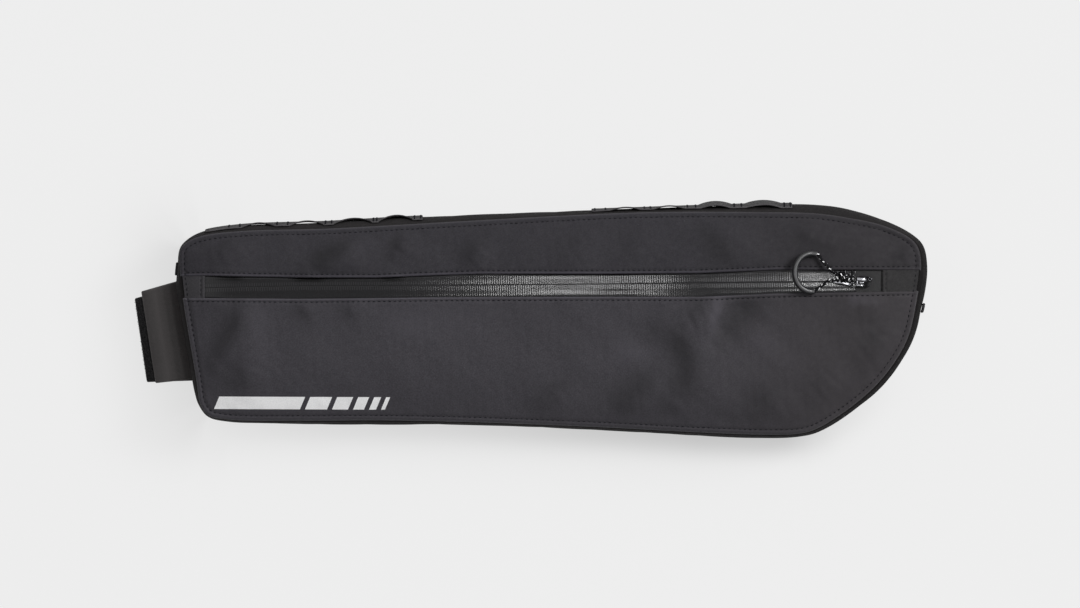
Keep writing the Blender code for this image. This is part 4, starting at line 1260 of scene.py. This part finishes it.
# ---------------------------------------------------------------------- the panels
def seam_arc(upper, count):
    """The seam from the left end of the zipper to its right end, over or under it."""
    edge = 1 if upper else 2
    ring = SEAM_LINE[:, :2]
    middle_left = (-218.6, float(zip_edge(-218.6, edge)))
    middle_right = (243.0, float(zip_edge(243.0, edge)))
    start = int(np.argmin(np.hypot(*(ring - middle_left).T)))
    stop = int(np.argmin(np.hypot(*(ring - middle_right).T)))
    n = len(ring)
    if upper:
        index = [(start - k) % n for k in range((start - stop) % n + 1)]
    else:
        index = [(start + k) % n for k in range((stop - start) % n + 1)]
    line = ring[index].copy()
    line[0, 1], line[-1, 1] = middle_left[1], middle_right[1]
    step = np.hypot(*np.diff(line, axis=0).T)
    heading = np.arctan2(*np.diff(line, axis=0).T[::-1])
    turn = np.abs(np.diff(np.unwrap(heading), prepend=heading[0]))
    reach = np.concatenate([[0.0], np.cumsum(step + 10.0 * turn)])
    wanted = np.linspace(0.0, reach[-1], count)
    return np.column_stack([np.interp(wanted, reach, line[:, k]) for k in (0, 1)])


FROM_ZIP = np.array([0.0, 0.22, 0.45, 0.7, 1.0, 1.3, 1.6, 1.9, 2.2, 2.5, 2.8, 3.2, 3.8, 4.6, 5.6])
FROM_SEAM = np.array([0.0, 0.2, 0.4, 0.65, 0.9, 1.2, 1.5, 1.8, 2.1, 2.4, 2.75, 3.1, 3.45, 3.8, 4.2, 4.8, 5.6, 6.6, 7.8])


def build_panel(name, upper, columns, middle_rows, finish, node):
    arc = seam_arc(upper, columns)
    edge = 1 if upper else 2
    share = np.linspace(0.0, 1.0, columns)
    zip_x = arc[0, 0] + (arc[-1, 0] - arc[0, 0]) * share
    zip_line = np.column_stack([zip_x, zip_edge(zip_x, edge)])
    zip_line[0, 0] += 0.6
    zip_line[-1, 0] -= 0.6
    way = arc - zip_line
    length = np.hypot(*way.T)
    way = way / length[:, None]
    squeeze = np.minimum(1.0, length / 19.0)[:, None]
    near = FROM_ZIP[None] * squeeze
    far = length[:, None] - FROM_SEAM[None, ::-1] * squeeze
    middle = near[:, -1:] + (far[:, :1] - near[:, -1:]) * np.linspace(0, 1, middle_rows + 2)[None, 1:-1]
    reach = np.hstack([near, middle, far])                       # columns x rows
    plan = zip_line[:, None] + way[:, None] * reach[..., None]
    z, painted_shading = front_height(plan[..., 0], plan[..., 1], with_painted_shading=True)
    z, painted_shading = z.reshape(reach.shape), painted_shading.reshape(reach.shape)
    painted_shading = np.pad(painted_shading, ((0, 0), (5, 5)))
    top = np.concatenate([plan, z[..., None]], axis=-1)
    # Hems: under the free edge at the zipper, and down into the seam all round.
    sign = np.array([0.0, 1.0 if upper else -1.0])
    start, end = top[:, 0], top[:, -1]
    hem_zip = []
    for inward, drop in ((3.6, 1.05), (1.4, 1.0), (0.25, 0.85), (0.0, 0.5), (-0.04, 0.22)):
        row = start.copy()
        row[:, :2] += sign * inward
        row[:, 2] -= drop
        hem_zip.append(row)
    hem_seam = []
    for inward, drop in ((-0.05, 0.25), (0.0, 0.6), (0.35, 0.95), (1.1, 1.15), (2.6, 1.2)):
        row = end.copy()
        row[:, :2] -= way * inward
        row[:, 2] -= drop
        hem_seam.append(row)
    full = np.concatenate([np.array(hem_zip).transpose(1, 0, 2), top, np.array(hem_seam).transpose(1, 0, 2)], axis=1)
    far_seam, _ = nearest_on(full[..., :2].reshape(-1, 2), SEAM_LINE)
    far_seam = far_seam.reshape(full.shape[:2])
    from_edge = np.abs(full[..., 1] - zip_edge(full[..., 0], edge))
    # Painted highlight along the turned edges: at the seam, and stronger on the upper panel, at the zipper.
    by_zip, centre, width = (4.4, 0.80, 0.55) if upper else (2.3, 0.55, 0.42)
    rim_highlight = np.maximum(np.exp(-((far_seam - 0.5) / 0.35) ** 2), by_zip * np.exp(-((from_edge - centre) / width) ** 2))
    pile = Pile()
    pile.grid(full, value=rim_highlight, place=full[..., :2] * MM, flip=not upper, painted_shading=painted_shading)
    made = pile.make(name, finish, replaces=[node])
    return made


front_upper = build_panel("front_upper_cloth", True, 640, 16, UPPER_CLOTH, "panel_front_upper")
front_lower = build_panel("front_lower_cloth", False, 780, 66, FRONT_CLOTH, "panel_front_lower")


def build_patch(name, left_side, inner_x, node):
    """End patch of the zipper opening, its inner edge turned under."""
    columns, rows = 46, 30
    grid = []
    for share in np.linspace(0.0, 1.0, rows):
        def across(x):
            low, high = zip_edge(x, 2) - 2.6, zip_edge(x, 1) + 2.6
            return low + (high - low) * share
        y = float(across(inner_x))
        left, right = crossings(SEAM_LINE, y, 1)
        outer = left + 1.3 if left_side else right - 1.3
        t = np.linspace(0.0, 1.0, columns) ** 1.4
        x = inner_x + (outer - inner_x) * t
        z = face_height(x, across(x)) - 0.55
        d = np.abs(x - inner_x)
        z = z - 0.5 * np.clip(1.0 - d / 0.7, 0.0, 1.0) ** 2 + 0.12 * np.exp(-((d - 1.2) / 0.8) ** 2)
        z = z - 0.25 * np.exp(-((d - 2.4) / 0.6) ** 2)
        row = np.column_stack([x, across(x), z])
        under = row[:1].copy()
        under[0, 2] -= 0.9
        tuck = under.copy()
        tuck[0, 0] += (1.0 if not left_side else -1.0) * 2.0
        tuck[0, 2] -= 0.1
        grid.append(np.vstack([tuck, under, row]))
    pile = Pile()
    pile.grid(np.array(grid), flip=left_side, place=np.array(grid)[..., :2] * MM)
    return pile.make(name, PATCH_CLOTH if left_side else NOSE_PATCH_CLOTH, replaces=[node])


build_patch("seat_end_patch", True, ZIP_LEFT_X, "zip_patch_left")
build_patch("nose_end_patch", False, GARAGE_RIGHT_X, "zip_patch_right")


# ---------------------------------------------------------------------- the zipper
TOOTH = 1.44
ZIP_WAVE = undulation(53, 7, 45.0, 120.0)


def tape_height(x, y):
    calm = smooth((np.abs(x - 198.0) - 12.0) / 20.0)
    return face_height(x, y) - TAPE_DROP + 0.13 * calm * ZIP_WAVE(x, 0.0 * x)


def build_tape(name, upper, node):
    edge = 1 if upper else 2
    sign = 1.0 if upper else -1.0
    x = np.arange(ZIP_LEFT_X - 3.4, ZIP_RIGHT_X - 0.15, TOOTH / 6)
    v = np.array([0.05, 0.16, 0.34, 0.6, 0.9, 1.2, 1.5, 1.8, 2.1, 2.35, 2.6, 2.9, 3.3, 3.8, 4.3, 4.8, 5.2, 5.6, 6.1, 6.8, 8.0, 10.4])
    mid = zip_edge(x, 3)[:, None]
    lap = np.abs(zip_edge(x, edge) - zip_edge(x, 3))[:, None]
    v = np.minimum(v[None], lap + 3.4)
    y = mid + sign * v
    xx = np.broadcast_to(x[:, None], y.shape)
    z = tape_height(xx, y)
    step = 0.015 if upper else 0.105 + 0.110 * np.exp(-((xx - 54.0) / 15.0) ** 2)
    hump = step * (1.0 - smooth((v - 2.8) / 1.9))
    crack = -0.09 * np.exp(-(v / 0.22) ** 2)
    tucked = -0.34 * smooth((v - (lap - 0.75)) / 0.7)
    phase = 0.0 if upper else math.pi
    beat = np.cos(2 * math.pi * xx / TOOTH + phase)
    ribs = 0.016 * beat * smooth((v - 0.25) / 0.3) * smooth((3.6 - v) / 0.8)
    fine = 0.007 * beat * smooth((v - 2.6) / 0.4) * smooth((lap - 0.3 - v) / 0.8)
    bead = 0.030 * beat * np.exp(-((v - (lap - 1.15)) / 0.42) ** 2) * (0.45 if upper else 1.0)
    z = z + hump + crack + ribs + fine + bead + tucked
    # Painted highlights on the coil's ribs and, past x 162, on slanted ridges.
    value = np.clip(ribs / 0.016, 0.0, 1.0) * (v < 2.6)
    slanted = np.cos(2 * math.pi * (xx + 0.35 * v) / TOOTH + phase)
    value = np.maximum(value, 0.9 * np.clip(slanted, 0.0, 1.0) * smooth((xx - 162.0) / 8.0))
    # Painted shadow on the upper tape under the lifted lips.
    painted_shading = 0.0 * v
    if upper:
        painted_shading = smooth(lip_height(xx) / 0.9) * smooth((v - (lap - 3.6)) / 2.2)
    top = np.stack([xx, y, z], -1)
    first = top[:1].copy()
    first[..., 2] -= 1.0
    last = top[-1:].copy()
    last[..., 2] -= 1.1
    last[..., 0] += 0.05
    inner = np.concatenate([first, top, last], axis=0)
    under = inner[:, :1].copy()
    under[..., 2] -= 0.9
    full = np.concatenate([under, inner], axis=1)
    value = np.pad(value, ((1, 1), (1, 0)))
    painted_shading = np.pad(painted_shading, ((1, 1), (1, 0)))
    pile = Pile()
    pile.grid(full, value=value, place=full[..., :2] * MM, flip=upper, painted_shading=painted_shading)
    return pile.make(name, ZIP_FILM, replaces=[node])


build_tape("zip_film_upper", True, "zip_tape_upper")
build_tape("zip_film_lower", False, "zip_tape_lower")


def build_garage():
    x = np.linspace(ZIP_RIGHT_X - 0.2, GARAGE_RIGHT_X + 3.0, 60)
    share = np.linspace(0.0, 1.0, 48)
    low, high = zip_edge(x, 2) - 3.0, zip_edge(x, 1) + 3.0
    y = low[:, None] + (high - low)[:, None] * share[None]
    xx = np.broadcast_to(x[:, None], y.shape)
    z = face_height(xx, y) - TAPE_DROP - 0.15
    z = z + 0.25 * np.exp(-((y - zip_edge(x, 3)[:, None]) / 3.0) ** 2) * smooth((212.0 - xx) / 8.0)
    top = np.stack([xx, y, z], -1)
    first = top[:1].copy()
    first[..., 2] -= 0.9
    pile = Pile()
    pile.grid(np.concatenate([first, top], axis=0), flip=True)
    return pile.make("zip_garage_cloth", GARAGE_CLOTH, replaces=["zip_garage"])


build_garage()


# ----------------------------------------------------------------- slider and tab
def lens_block(pile, outline, layers, at, turn):
    """A smooth block: one plan outline at several heights, each grown or shrunk."""
    outline = np.asarray(outline, float)
    middle = outline.mean(0)
    rings = []
    for z, grow in layers:
        way = outline - middle
        size = np.linalg.norm(way, axis=1)[:, None]
        ring = middle + way * np.clip((size + grow) / size, 0.01, None)
        rings.append(np.column_stack([ring, np.full(len(ring), z)]))
    closing = [np.column_stack([np.repeat(middle[None], len(outline), 0), np.full(len(outline), layers[0][0])])]
    opening = [np.column_stack([np.repeat(middle[None], len(outline), 0), np.full(len(outline), layers[-1][0])])]
    grid = np.array(closing + rings + opening)
    pile.grid(turned(grid, at, turn), wrap=True)


def superellipse(half_x, half_y, power, count, shift=0.0, taper=0.0):
    a = np.linspace(0.0, 2 * math.pi, count, endpoint=False)
    c, s = np.cos(a), np.sin(a)
    x = half_x * np.sign(c) * np.abs(c) ** (2 / power)
    y = half_y * np.sign(s) * np.abs(s) ** (2 / power)
    return np.column_stack([x + shift, y * (1.0 + taper * x / half_x)])


def round_layers(z0, z1, radius, steps=5):
    a = np.linspace(0.0, math.pi / 2, steps)
    low = [(z0 + radius * (1 - math.cos(t)), -radius * (1 - math.sin(t))) for t in a]
    high = [(z1 - radius * (1 - math.cos(t)), -radius * (1 - math.sin(t))) for t in a[::-1]]
    return low + high


def build_slider():
    base = TAPE_Z + GAP + 0.1
    at = (SLIDER_AT[0], SLIDER_AT[1], base)
    pile = Pile()
    # base plate, the crown that holds the tab, and the flange beside it
    lens_block(pile, superellipse(4.9, 3.3, 2.8, 72),
               [(0.1, -0.3), (0.25, -0.05), (0.5, 0.0), (0.66, -0.4), (0.82, -1.1), (0.95, -1.9), (1.05, -2.6)], at, -3.0)
    crown = superellipse(4.9, 2.0, 2.8, 72, taper=0.06) + np.array([0.45, 2.0])
    lens_block(pile, crown, round_layers(0.8, 3.0, 0.46, 8), at, -3.0)
    flange = superellipse(3.9, 1.15, 3.0, 64) + np.array([-0.8, -1.95])
    lens_block(pile, flange, round_layers(0.6, 1.8, 0.30, 7), at, -3.0)
    # rolled eye at the garage end of the crown
    a = np.linspace(0.0, 2 * math.pi, 36)
    eye = np.column_stack([4.05 + 0.85 * np.cos(a), 2.05 + 0.95 * np.sin(a), 3.05 + 0.0 * a])
    pile.grid(turned(tube_grid(eye, 0.34, 12), at, -3.0), wrap=True)
    return pile.make("slider_body", METAL, sharp=50.0, replaces=["zip_slider"])


def build_pull_tab():
    at = (TAB_AT[0], TAB_AT[1] - 0.8, TAB_Z)
    pile = Pile()
    lens_block(pile, superellipse(TAB[0] / 2, TAB[1] / 2, 3.6, 80, taper=-0.08),
               [(0.0, -0.35), (0.1, -0.12), (0.28, 0.0), (0.55, -0.03), (0.8, -0.2), (1.0, -0.5), (1.13, -0.85),
                (1.2, -1.2), (1.22, -1.55)], at, TAB_TURN)
    # eye at the slider's bridge
    a = np.linspace(0.0, 2 * math.pi, 40)
    ring = np.column_stack([6.9 + 1.9 * np.cos(a), 1.35 * np.sin(a), 1.1 + 0.35 * np.cos(a)])
    pile.grid(turned(tube_grid(ring, 0.46, 12), at, TAB_TURN), wrap=True)
    return pile.make("slider_tab", METAL, sharp=50.0, replaces=["zip_pull_tab"])


build_slider()
build_pull_tab()


# ------------------------------------------------------------- gusset and back panel
RING = even_ring(SEAM_LINE, 900, 6.0)
RING_OUT = normals_of(RING)
RING_REACH = path_reach(np.vstack([RING[:, :2], RING[:1, :2]]))[:-1]


def belly_share(z):
    return np.clip(1.0 - np.abs((z - 28.0) / 20.6) ** 3.0, 0.0, 1.0)


def wall_ring(z, inward=0.0, detail=True):
    """Outline of the gusset's outer face at one height, with its soft creases."""
    belly = RING[:, 2]
    out = belly_share(z) * belly - inward
    if detail:
        s = RING_REACH
        strong = float(smooth(min(z - 8.0, 47.0 - z) / 9.0))
        crease = 0.5 + 0.5 * np.sin(s / 6.7 + 1.7 * np.sin(s / 31.0) + 0.05 * z)
        crease2 = 0.5 + 0.5 * np.sin(s / 14.0 + 1.3 * np.sin(s / 47.0) - 0.09 * z)
        near_seam = math.exp(-((z - 43.5) / 3.5) ** 2) + math.exp(-((z - 11.0) / 3.5) ** 2)
        tiny = np.sin(s / 1.35 + 2.0 * np.sin(s / 13.0))
        out = out + 0.25 * strong - strong * (0.15 * crease**3 + 0.35 * crease2**4) - 0.07 * near_seam * (1.0 + tiny)
    return RING[:, :2] + RING_OUT * out[:, None]


def build_gusset():
    rows = []
    # The values are a painted highlight on the hem rows at both seams.
    values = []
    for inward, z in ((4.5, 47.0), (2.2, 47.3), (0.9, 47.45), (0.35, 47.2), (0.1, 46.8)):
        plan = RING[:, :2] - RING_OUT * inward
        rows.append(np.column_stack([plan, np.full(len(plan), z)]))
        values.append(np.full(len(plan), 0.4))
    for z in np.concatenate([np.arange(46.2, 40.0, -0.8), np.arange(40.0, 15.0, -1.4), np.arange(15.0, 7.4, -0.8)]):
        inward = 0.8 * smooth((12.0 - z) / 5.0)
        plan = wall_ring(z, inward)
        rows.append(np.column_stack([plan, np.full(len(plan), z)]))
        values.append(np.full(len(plan), 0.5 if z > 45.5 or z < 8.2 else 0.0))
    for inward, z in ((0.85, 7.1), (1.1, 6.75), (1.7, 6.6), (3.0, 6.5), (5.0, 6.6)):
        plan = RING[:, :2] - RING_OUT * inward
        rows.append(np.column_stack([plan, np.full(len(plan), z)]))
        values.append(np.full(len(plan), 0.4))
    rows = np.array(rows)
    around = np.concatenate([RING_REACH, [RING_REACH[-1] + 1.3]])
    place = np.stack(np.meshgrid(around, rows[:, 0, 2]), -1) * MM * 1000.0
    pile = Pile()
    pile.grid(rows, wrap=True, place=place, value=np.array(values), flip=True)
    return pile.make("gusset_wall", SIDE_CLOTH, replaces=["gusset", "binding_front", "binding_back"])


build_gusset()


def build_back():
    """Back cloth: flat where it lies, rolled up to the back seam round its edge."""
    edge = RING[:, :2] - RING_OUT * BACK_INSET
    ring = np.column_stack([edge, RING[:, 2]])
    rows = []
    for inward, drop in ((3.0, 1.25), (1.2, 1.2), (0.4, 1.05), (0.05, 0.7)):
        plan = edge - RING_OUT * inward
        rows.append(np.column_stack([plan, np.full(len(plan), BACK_RISE + 0.4 + drop)]))
    steps = np.concatenate([[0.0, 0.3, 0.7, 1.2, 1.8, 2.4, 3.0, 3.6, 4.4], np.linspace(5.4, BACK_ROLL, 14)])
    for inward in steps:
        plan = edge if inward == 0.0 else towards_spine(ring, np.full(len(edge), inward))
        z = BACK_RISE * (1.0 - inward / BACK_ROLL) ** 2
        roll = 0.9 * max(0.0, 1.0 - inward / 0.9) ** 2 + 0.35 * math.exp(-((inward - 3.0) / 0.6) ** 2)
        soft = 0.12 * MIDDLE(plan[:, 0], plan[:, 1]) * smooth(inward / 6.0) * smooth((BACK_ROLL - inward) / 6.0)
        rows.append(np.column_stack([plan, np.full(len(plan), z + roll) + np.abs(soft)]))
    inner = towards_spine(ring, np.full(len(edge), BACK_ROLL))
    x = np.clip(RING[:, 0], -160.0, 172.0)
    spine = np.column_stack([x, np.interp(x, (-160.0, 172.0), (-3.0, 3.0))])
    for share in np.linspace(0.0, 1.0, 20)[1:]:
        plan = inner + (spine - inner) * share
        lift = 0.10 * smooth(share * 3.0) * (0.5 + 0.5 * MIDDLE(plan[:, 0], plan[:, 1]).clip(-1, 1))
        rows.append(np.column_stack([plan, lift]))
    rows = np.array(rows)
    # Painted highlight on the rolled edge's rows.
    rim_highlight = np.zeros(rows.shape[:2])
    rim_highlight[:8] = 0.4
    pile = Pile()
    place = rows[..., :2] * MM
    place = np.concatenate([place, place[:, :1]], axis=1)
    pile.grid(rows, wrap=True, place=place, value=rim_highlight)
    return pile.make("back_cloth_panel", BACK_CLOTH, replaces=["back_panel"])


build_back()


# --------------------------------------------------------------------- topstitching
def inset_line(distance, count=2600):
    """The seam line moved in by a distance, as closed line of plan points."""
    ring = even_ring(SEAM_LINE, count)
    plan = ring[:, :2] - normals_of(ring) * distance
    return np.vstack([plan, plan[:1]])


def build_topstitch():
    pile = Pile()
    up = (0.0, 0.0, 1.0)
    plan = inset_line(SEAM_STITCH_IN)
    # Where the perimeter row crosses the zipper opening it runs at the end patches' height.
    z = front_height(plan[:, 0], plan[:, 1], detail=False)
    inside = (plan[:, 1] < zip_edge(plan[:, 0], 1)) & (plan[:, 1] > zip_edge(plan[:, 0], 2))
    patch_z = face_height(plan[:, 0], plan[:, 1]) - 0.55
    z = np.where(inside, patch_z, z)
    stitches(pile, np.column_stack([plan, z]), up, lift=0.10)
    for which, sign in ((1, 1.0), (2, -1.0)):
        x = np.arange(-215.6, 239.6, 0.4)
        y = zip_edge(x, which) + sign * ZIP_STITCH_IN
        z = front_height(x, y, detail=False)
        stitches(pile, np.column_stack([x, y, z]), up, lift=0.10)
    for x0 in (ZIP_LEFT_X - 2.4, GARAGE_RIGHT_X + 2.4):
        y = np.arange(float(zip_edge(x0, 2)) + 0.8, float(zip_edge(x0, 1)) - 0.8, 0.3)
        x = np.full(len(y), x0)
        z = face_height(x, y) - 0.55 - 0.25
        stitches(pile, np.column_stack([x, y, z]), up, pitch=2.9, length=1.9, radius=0.2, lift=0.08)
    pile.make("front_topstitch", THREAD)

    back = Pile()
    ring = even_ring(SEAM_LINE, 2600)
    out = normals_of(ring)
    edge = np.column_stack([ring[:, :2] - out * BACK_INSET, ring[:, 2]])
    plan = towards_spine(edge, np.full(len(edge), 3.0))
    z = np.full(len(plan), BACK_RISE * (1.0 - 3.0 / BACK_ROLL) ** 2 + 0.35)
    stitches(back, np.column_stack([plan, z]), (0.0, 0.0, -1.0), lift=0.10)
    back.make("back_topstitch", THREAD)


build_topstitch()


# ------------------------------------------------------------------------- ribbons
WALL30 = np.column_stack([RING[:, :2] + RING_OUT * (belly_share(30.0) * RING[:, 2])[:, None], RING[:, 2]])
RIBBON_CREST = 45.0         # the ribbon's upper edge, laid over the wall's shoulder


def wall_top(x, z):
    """How far out the gusset's top side stands at x, at one height."""
    plan = wall_ring(z, detail=False)
    upper = plan[plan[:, 1] > 45.0]
    upper = upper[np.argsort(upper[:, 0])]
    return np.interp(x, upper[:, 0], upper[:, 1])


# How far the upper edge sinks between two tacks, in mm.
RIBBON_DROOP = {"daisy_strip_left": 7.5, "daisy_strip_right": 0.0}


def ribbon_rows(name):
    tacks = RIBBON_TACKS[name]
    out = []
    for k, (x0, x1, high, low) in enumerate(tacks):
        for x in np.linspace(x0, x1, 8):
            out.append((x, -9.0, -9.0, 0.0))
        if k + 1 < len(tacks):
            x2 = tacks[k + 1][0]
            for t in np.linspace(0.0, 1.0, 26)[1:-1]:
                sink = 2.4 * abs(2.0 * t - 1.0) ** 2
                bow = 1.0 - abs(2.0 * t - 1.0) ** 2
                out.append((x1 + (x2 - x1) * t, high - sink * (1.0 + 0.25 * max(high, 0.0)), low - sink, bow))
    return np.array(out)


def build_ribbon(name, node):
    rows = ribbon_rows(name)
    heights = np.concatenate([np.linspace(RIBBON_CREST, 40.0, 9), np.linspace(38.6, RIBBON_LOW, 12)])
    grid = np.empty((len(rows), len(heights), 3))
    crest = wall_top(rows[:, 0], 30.0)
    droop = RIBBON_DROOP[name] * rows[:, 3]
    for j, height in enumerate(heights):
        # Between its tacks the ribbon bows out past the fullest part of the wall.
        up = min(max((height - RIBBON_LOW) / (RIBBON_CREST - RIBBON_LOW), 0.0), 1.0)
        off = rows[:, 2] + (rows[:, 1] - rows[:, 2]) * up
        z = height - droop * up**2
        wall = np.array([float(wall_top(at, level)) for at, level in zip(rows[:, 0], z)])
        apart = crest + off - wall
        grid[:, j, 0] = rows[:, 0]
        grid[:, j, 1] = wall + 0.5 * (apart + np.sqrt(apart**2 + 0.03)) + GAP + RIBBON * 0.9
        grid[:, j, 1] += 0.08 * np.sin(rows[:, 0] / 2.7 + 0.2 * z) * smooth((z - 38.0) / 5.0)
        grid[:, j, 2] = z
    pile = Pile()
    # Painted highlight along the ribbon's upper edge.
    top_edge_highlight = np.broadcast_to(smooth((heights - 43.2) / 1.2)[None], grid.shape[:2])
    slab(pile, grid, (0.0, -0.95, -0.1), RIBBON - 0.1, value=top_edge_highlight)
    made = pile.make(name + "_webbing", RIBBON_CLOTH, sharp=60.0, replaces=[node])
    # bar tacks: dense zigzag thread across the ribbon at both sides of each tack
    thread = Pile()
    heights = np.linspace(RIBBON_CREST - 0.4, RIBBON_LOW + 0.8, 30)
    for x0, x1, high, low in RIBBON_TACKS[name]:
        for x in (max(x0, x1 - 8.5) + 0.9, x1 - 0.9):
            for z in heights:
                at = np.array([wall_top(x, h) for h in (z + 0.3, z - 0.3)])
                up = np.array([0.0, 0.6, at[1] - at[0]])
                up /= np.linalg.norm(up)
                middle = np.array([x, at.mean() + GAP + RIBBON * 0.9, z])
                ends = [(-0.75, -0.3), (-0.25, 0.06), (0.25, 0.06), (0.75, -0.3)]
                line = np.array([middle + up * rise_ + (dx, 0.0, 0.12 * dx) for dx, rise_ in ends])
                thread.grid(tube_grid(line, [0.12, 0.22, 0.22, 0.12], 6), wrap=True)
    thread.make(name + "_tacks", THREAD)
    return made


build_ribbon("daisy_strip_left", "daisy_strip_left")
build_ribbon("daisy_strip_right", "daisy_strip_right")


# --------------------------------------------------------------------------- strap
def build_strap(name, height, finish, node):
    tip_top, tip_foot, root_top, root_foot = STRAP_CORNERS[name]
    out = np.linspace(0.0, 1.0, 46)
    across = np.linspace(0.0, 1.0, 60)
    section = np.interp(out, column(STRAP_SECTION, 0), column(STRAP_SECTION, height))
    kernel = np.array([1, 3, 5, 3, 1]) / 13.0
    padded = np.pad(section, 2, mode="edge")
    section = np.convolve(padded, kernel, "valid")
    root_y = root_foot + (root_top - root_foot) * across
    top = STRAP_SECTION[0][height]
    root_x = []
    for y in root_y:
        spots = []
        for z in (top, top - STRAP / 2, top - STRAP):
            ring = np.column_stack([RING[:, :2] + RING_OUT * (belly_share(z) * RING[:, 2])[:, None], RING[:, 2]])
            spots.append(crossings(ring, y, 1)[0])
        root_x.append(min(spots) - 0.12)
    root_x = np.array(root_x)
    tip = np.array([[f + (t - f) * a for f, t in zip(tip_foot, tip_top)] for a in across])
    grid = np.empty((len(out), len(across), 3))
    grid[..., 0] = root_x[None] + (tip[None, :, 0] - root_x[None]) * out[:, None]
    grid[..., 1] = root_y[None] + (tip[None, :, 1] - root_y[None]) * out[:, None]
    bow = 0.5 * np.sin(math.pi * across)[None] * out[:, None]
    grid[..., 2] = section[:, None] + bow + 0.12 * MIDDLE(grid[..., 0] * 1.2, grid[..., 1]) * out[:, None]
    if height == 2:
        grid[..., 2] -= 0.2
    pile = Pile()
    # Painted highlight band across the upper layer where it curves.
    wear_and_highlight = np.broadcast_to(0.6 * (height == 1) * np.exp(-((out - 0.60) / 0.16) ** 2)[:, None], grid.shape[:2])
    slab(pile, grid, (0.0, 0.0, -1.0), STRAP - 0.25, value=wear_and_highlight, tile=MM)
    return pile.make(name + "_cloth", finish, sharp=60.0, replaces=[node]), grid


strap_upper, upper_grid = build_strap("strap_upper", 1, STRAP_FACE, "strap_upper")
strap_lower, lower_grid = build_strap("strap_lower", 2, HOOK_FACE, "strap_lower")


def build_hooks():
    """The row of little hooks that shows along the lower layer's free edge."""
    pile = Pile()
    pick = np.random.default_rng(5)
    edge = lower_grid[-1]
    reach = path_reach(edge)
    for s in np.arange(0.8, reach[-1] - 0.8, 0.62):
        p = np.array([np.interp(s, reach, edge[:, k]) for k in range(3)])
        for row in range(3):
            foot = p + (-0.35 + row * 1.3 + pick.uniform(-0.25, 0.25), pick.uniform(-0.2, 0.2), -0.1 - 0.4 * (row == 0))
            lean = pick.uniform(-0.35, 0.35)
            path = np.array([foot, foot + (0.0, lean * 0.4, 0.35), foot + (-0.25, lean, 0.62), foot + (-0.5, lean, 0.55)])
            pile.grid(tube_grid(path, [0.13, 0.12, 0.11, 0.06], 5), wrap=True)
    pile.make("strap_hooks", HOOK_FACE)


build_hooks()


# ---------------------------------------------------------------------- side tabs
def build_side_tab(name, left_side, y0, width, z_low, z_high, thickness, node):
    """A folded end of webbing sewn into the side seam."""
    ring = WALL30
    sign = -1.0 if left_side else 1.0
    z = np.linspace(z_high, z_low, 26)
    y = np.linspace(y0 - width / 2, y0 + width / 2, 14)
    x = np.array([crossings(ring, at, 1)[0 if left_side else 1] for at in y])[None] + sign * 0.05
    grid = np.empty((len(z), len(y), 3))
    t = np.linspace(-1.0, 1.0, len(z))
    grid[..., 0] = x + sign * (thickness + 0.0 * z)[:, None]
    grid[..., 0] += sign * (0.25 * (1.0 - np.abs(t) ** 4))[:, None] - sign * 0.12 * (np.linspace(-1, 1, len(y)) ** 2)[None]
    grid[..., 1] = y[None]
    grid[..., 2] = z[:, None]
    pile = Pile()
    slab(pile, grid, (-sign, 0.0, 0.0), thickness)
    return pile.make(name, TAB_CLOTH, sharp=60.0, replaces=[node])


build_side_tab("seat_side_tab", True, 32.0, 7.5, 23.0, 37.0, 1.2, "tab_left")
build_side_tab("nose_side_tab", False, 7.5, 5.2, 24.0, 36.0, 1.5, "tab_right")


# -------------------------------------------------------------- reflective accents
BARS = (
    # from, to along the row, in points of the view
    (0.0, 86.0), (91.0, 113.0), (118.0, 134.0), (139.0, 150.0), (155.0, 162.0), (167.0, 171.0),
)
BAR_FOOT, BAR_TOP = (214.0, 409.0), 396.5
BAR_SLANT = 0.42


def build_bars():
    """A plain row of slanted reflective bars pressed on near the lower edge."""
    pile = Pile()
    for start, stop in BARS:
        columns = max(6, int((stop - start) * SCALE / 0.8))
        rows = 14
        grid = np.empty((columns, rows, 3))
        for j, share in enumerate(np.linspace(0.0, 1.0, rows)):
            along = np.linspace(start, stop, columns)
            view_y = BAR_FOOT[1] + (BAR_TOP - BAR_FOOT[1]) * share
            view_x = BAR_FOOT[0] + along + (BAR_FOOT[1] - view_y) * BAR_SLANT
            x, y = at_view(view_x, view_y + 0.004 * along)
            grid[:, j, 0], grid[:, j, 1] = x, y
        z = front_height(grid[..., 0], grid[..., 1]).reshape(columns, rows)
        grid[..., 2] = z + 0.09
        ring = np.concatenate([grid[:, :1] + (0, 0, -0.16), grid, grid[:, -1:] + (0, 0, -0.16)], axis=1)
        ring = np.concatenate([ring[:1] + (0, 0, -0.16), ring, ring[-1:] + (0, 0, -0.16)], axis=0)
        pile.grid(ring)
    return pile.make("reflective_bars", FILM, sharp=40.0)


build_bars()
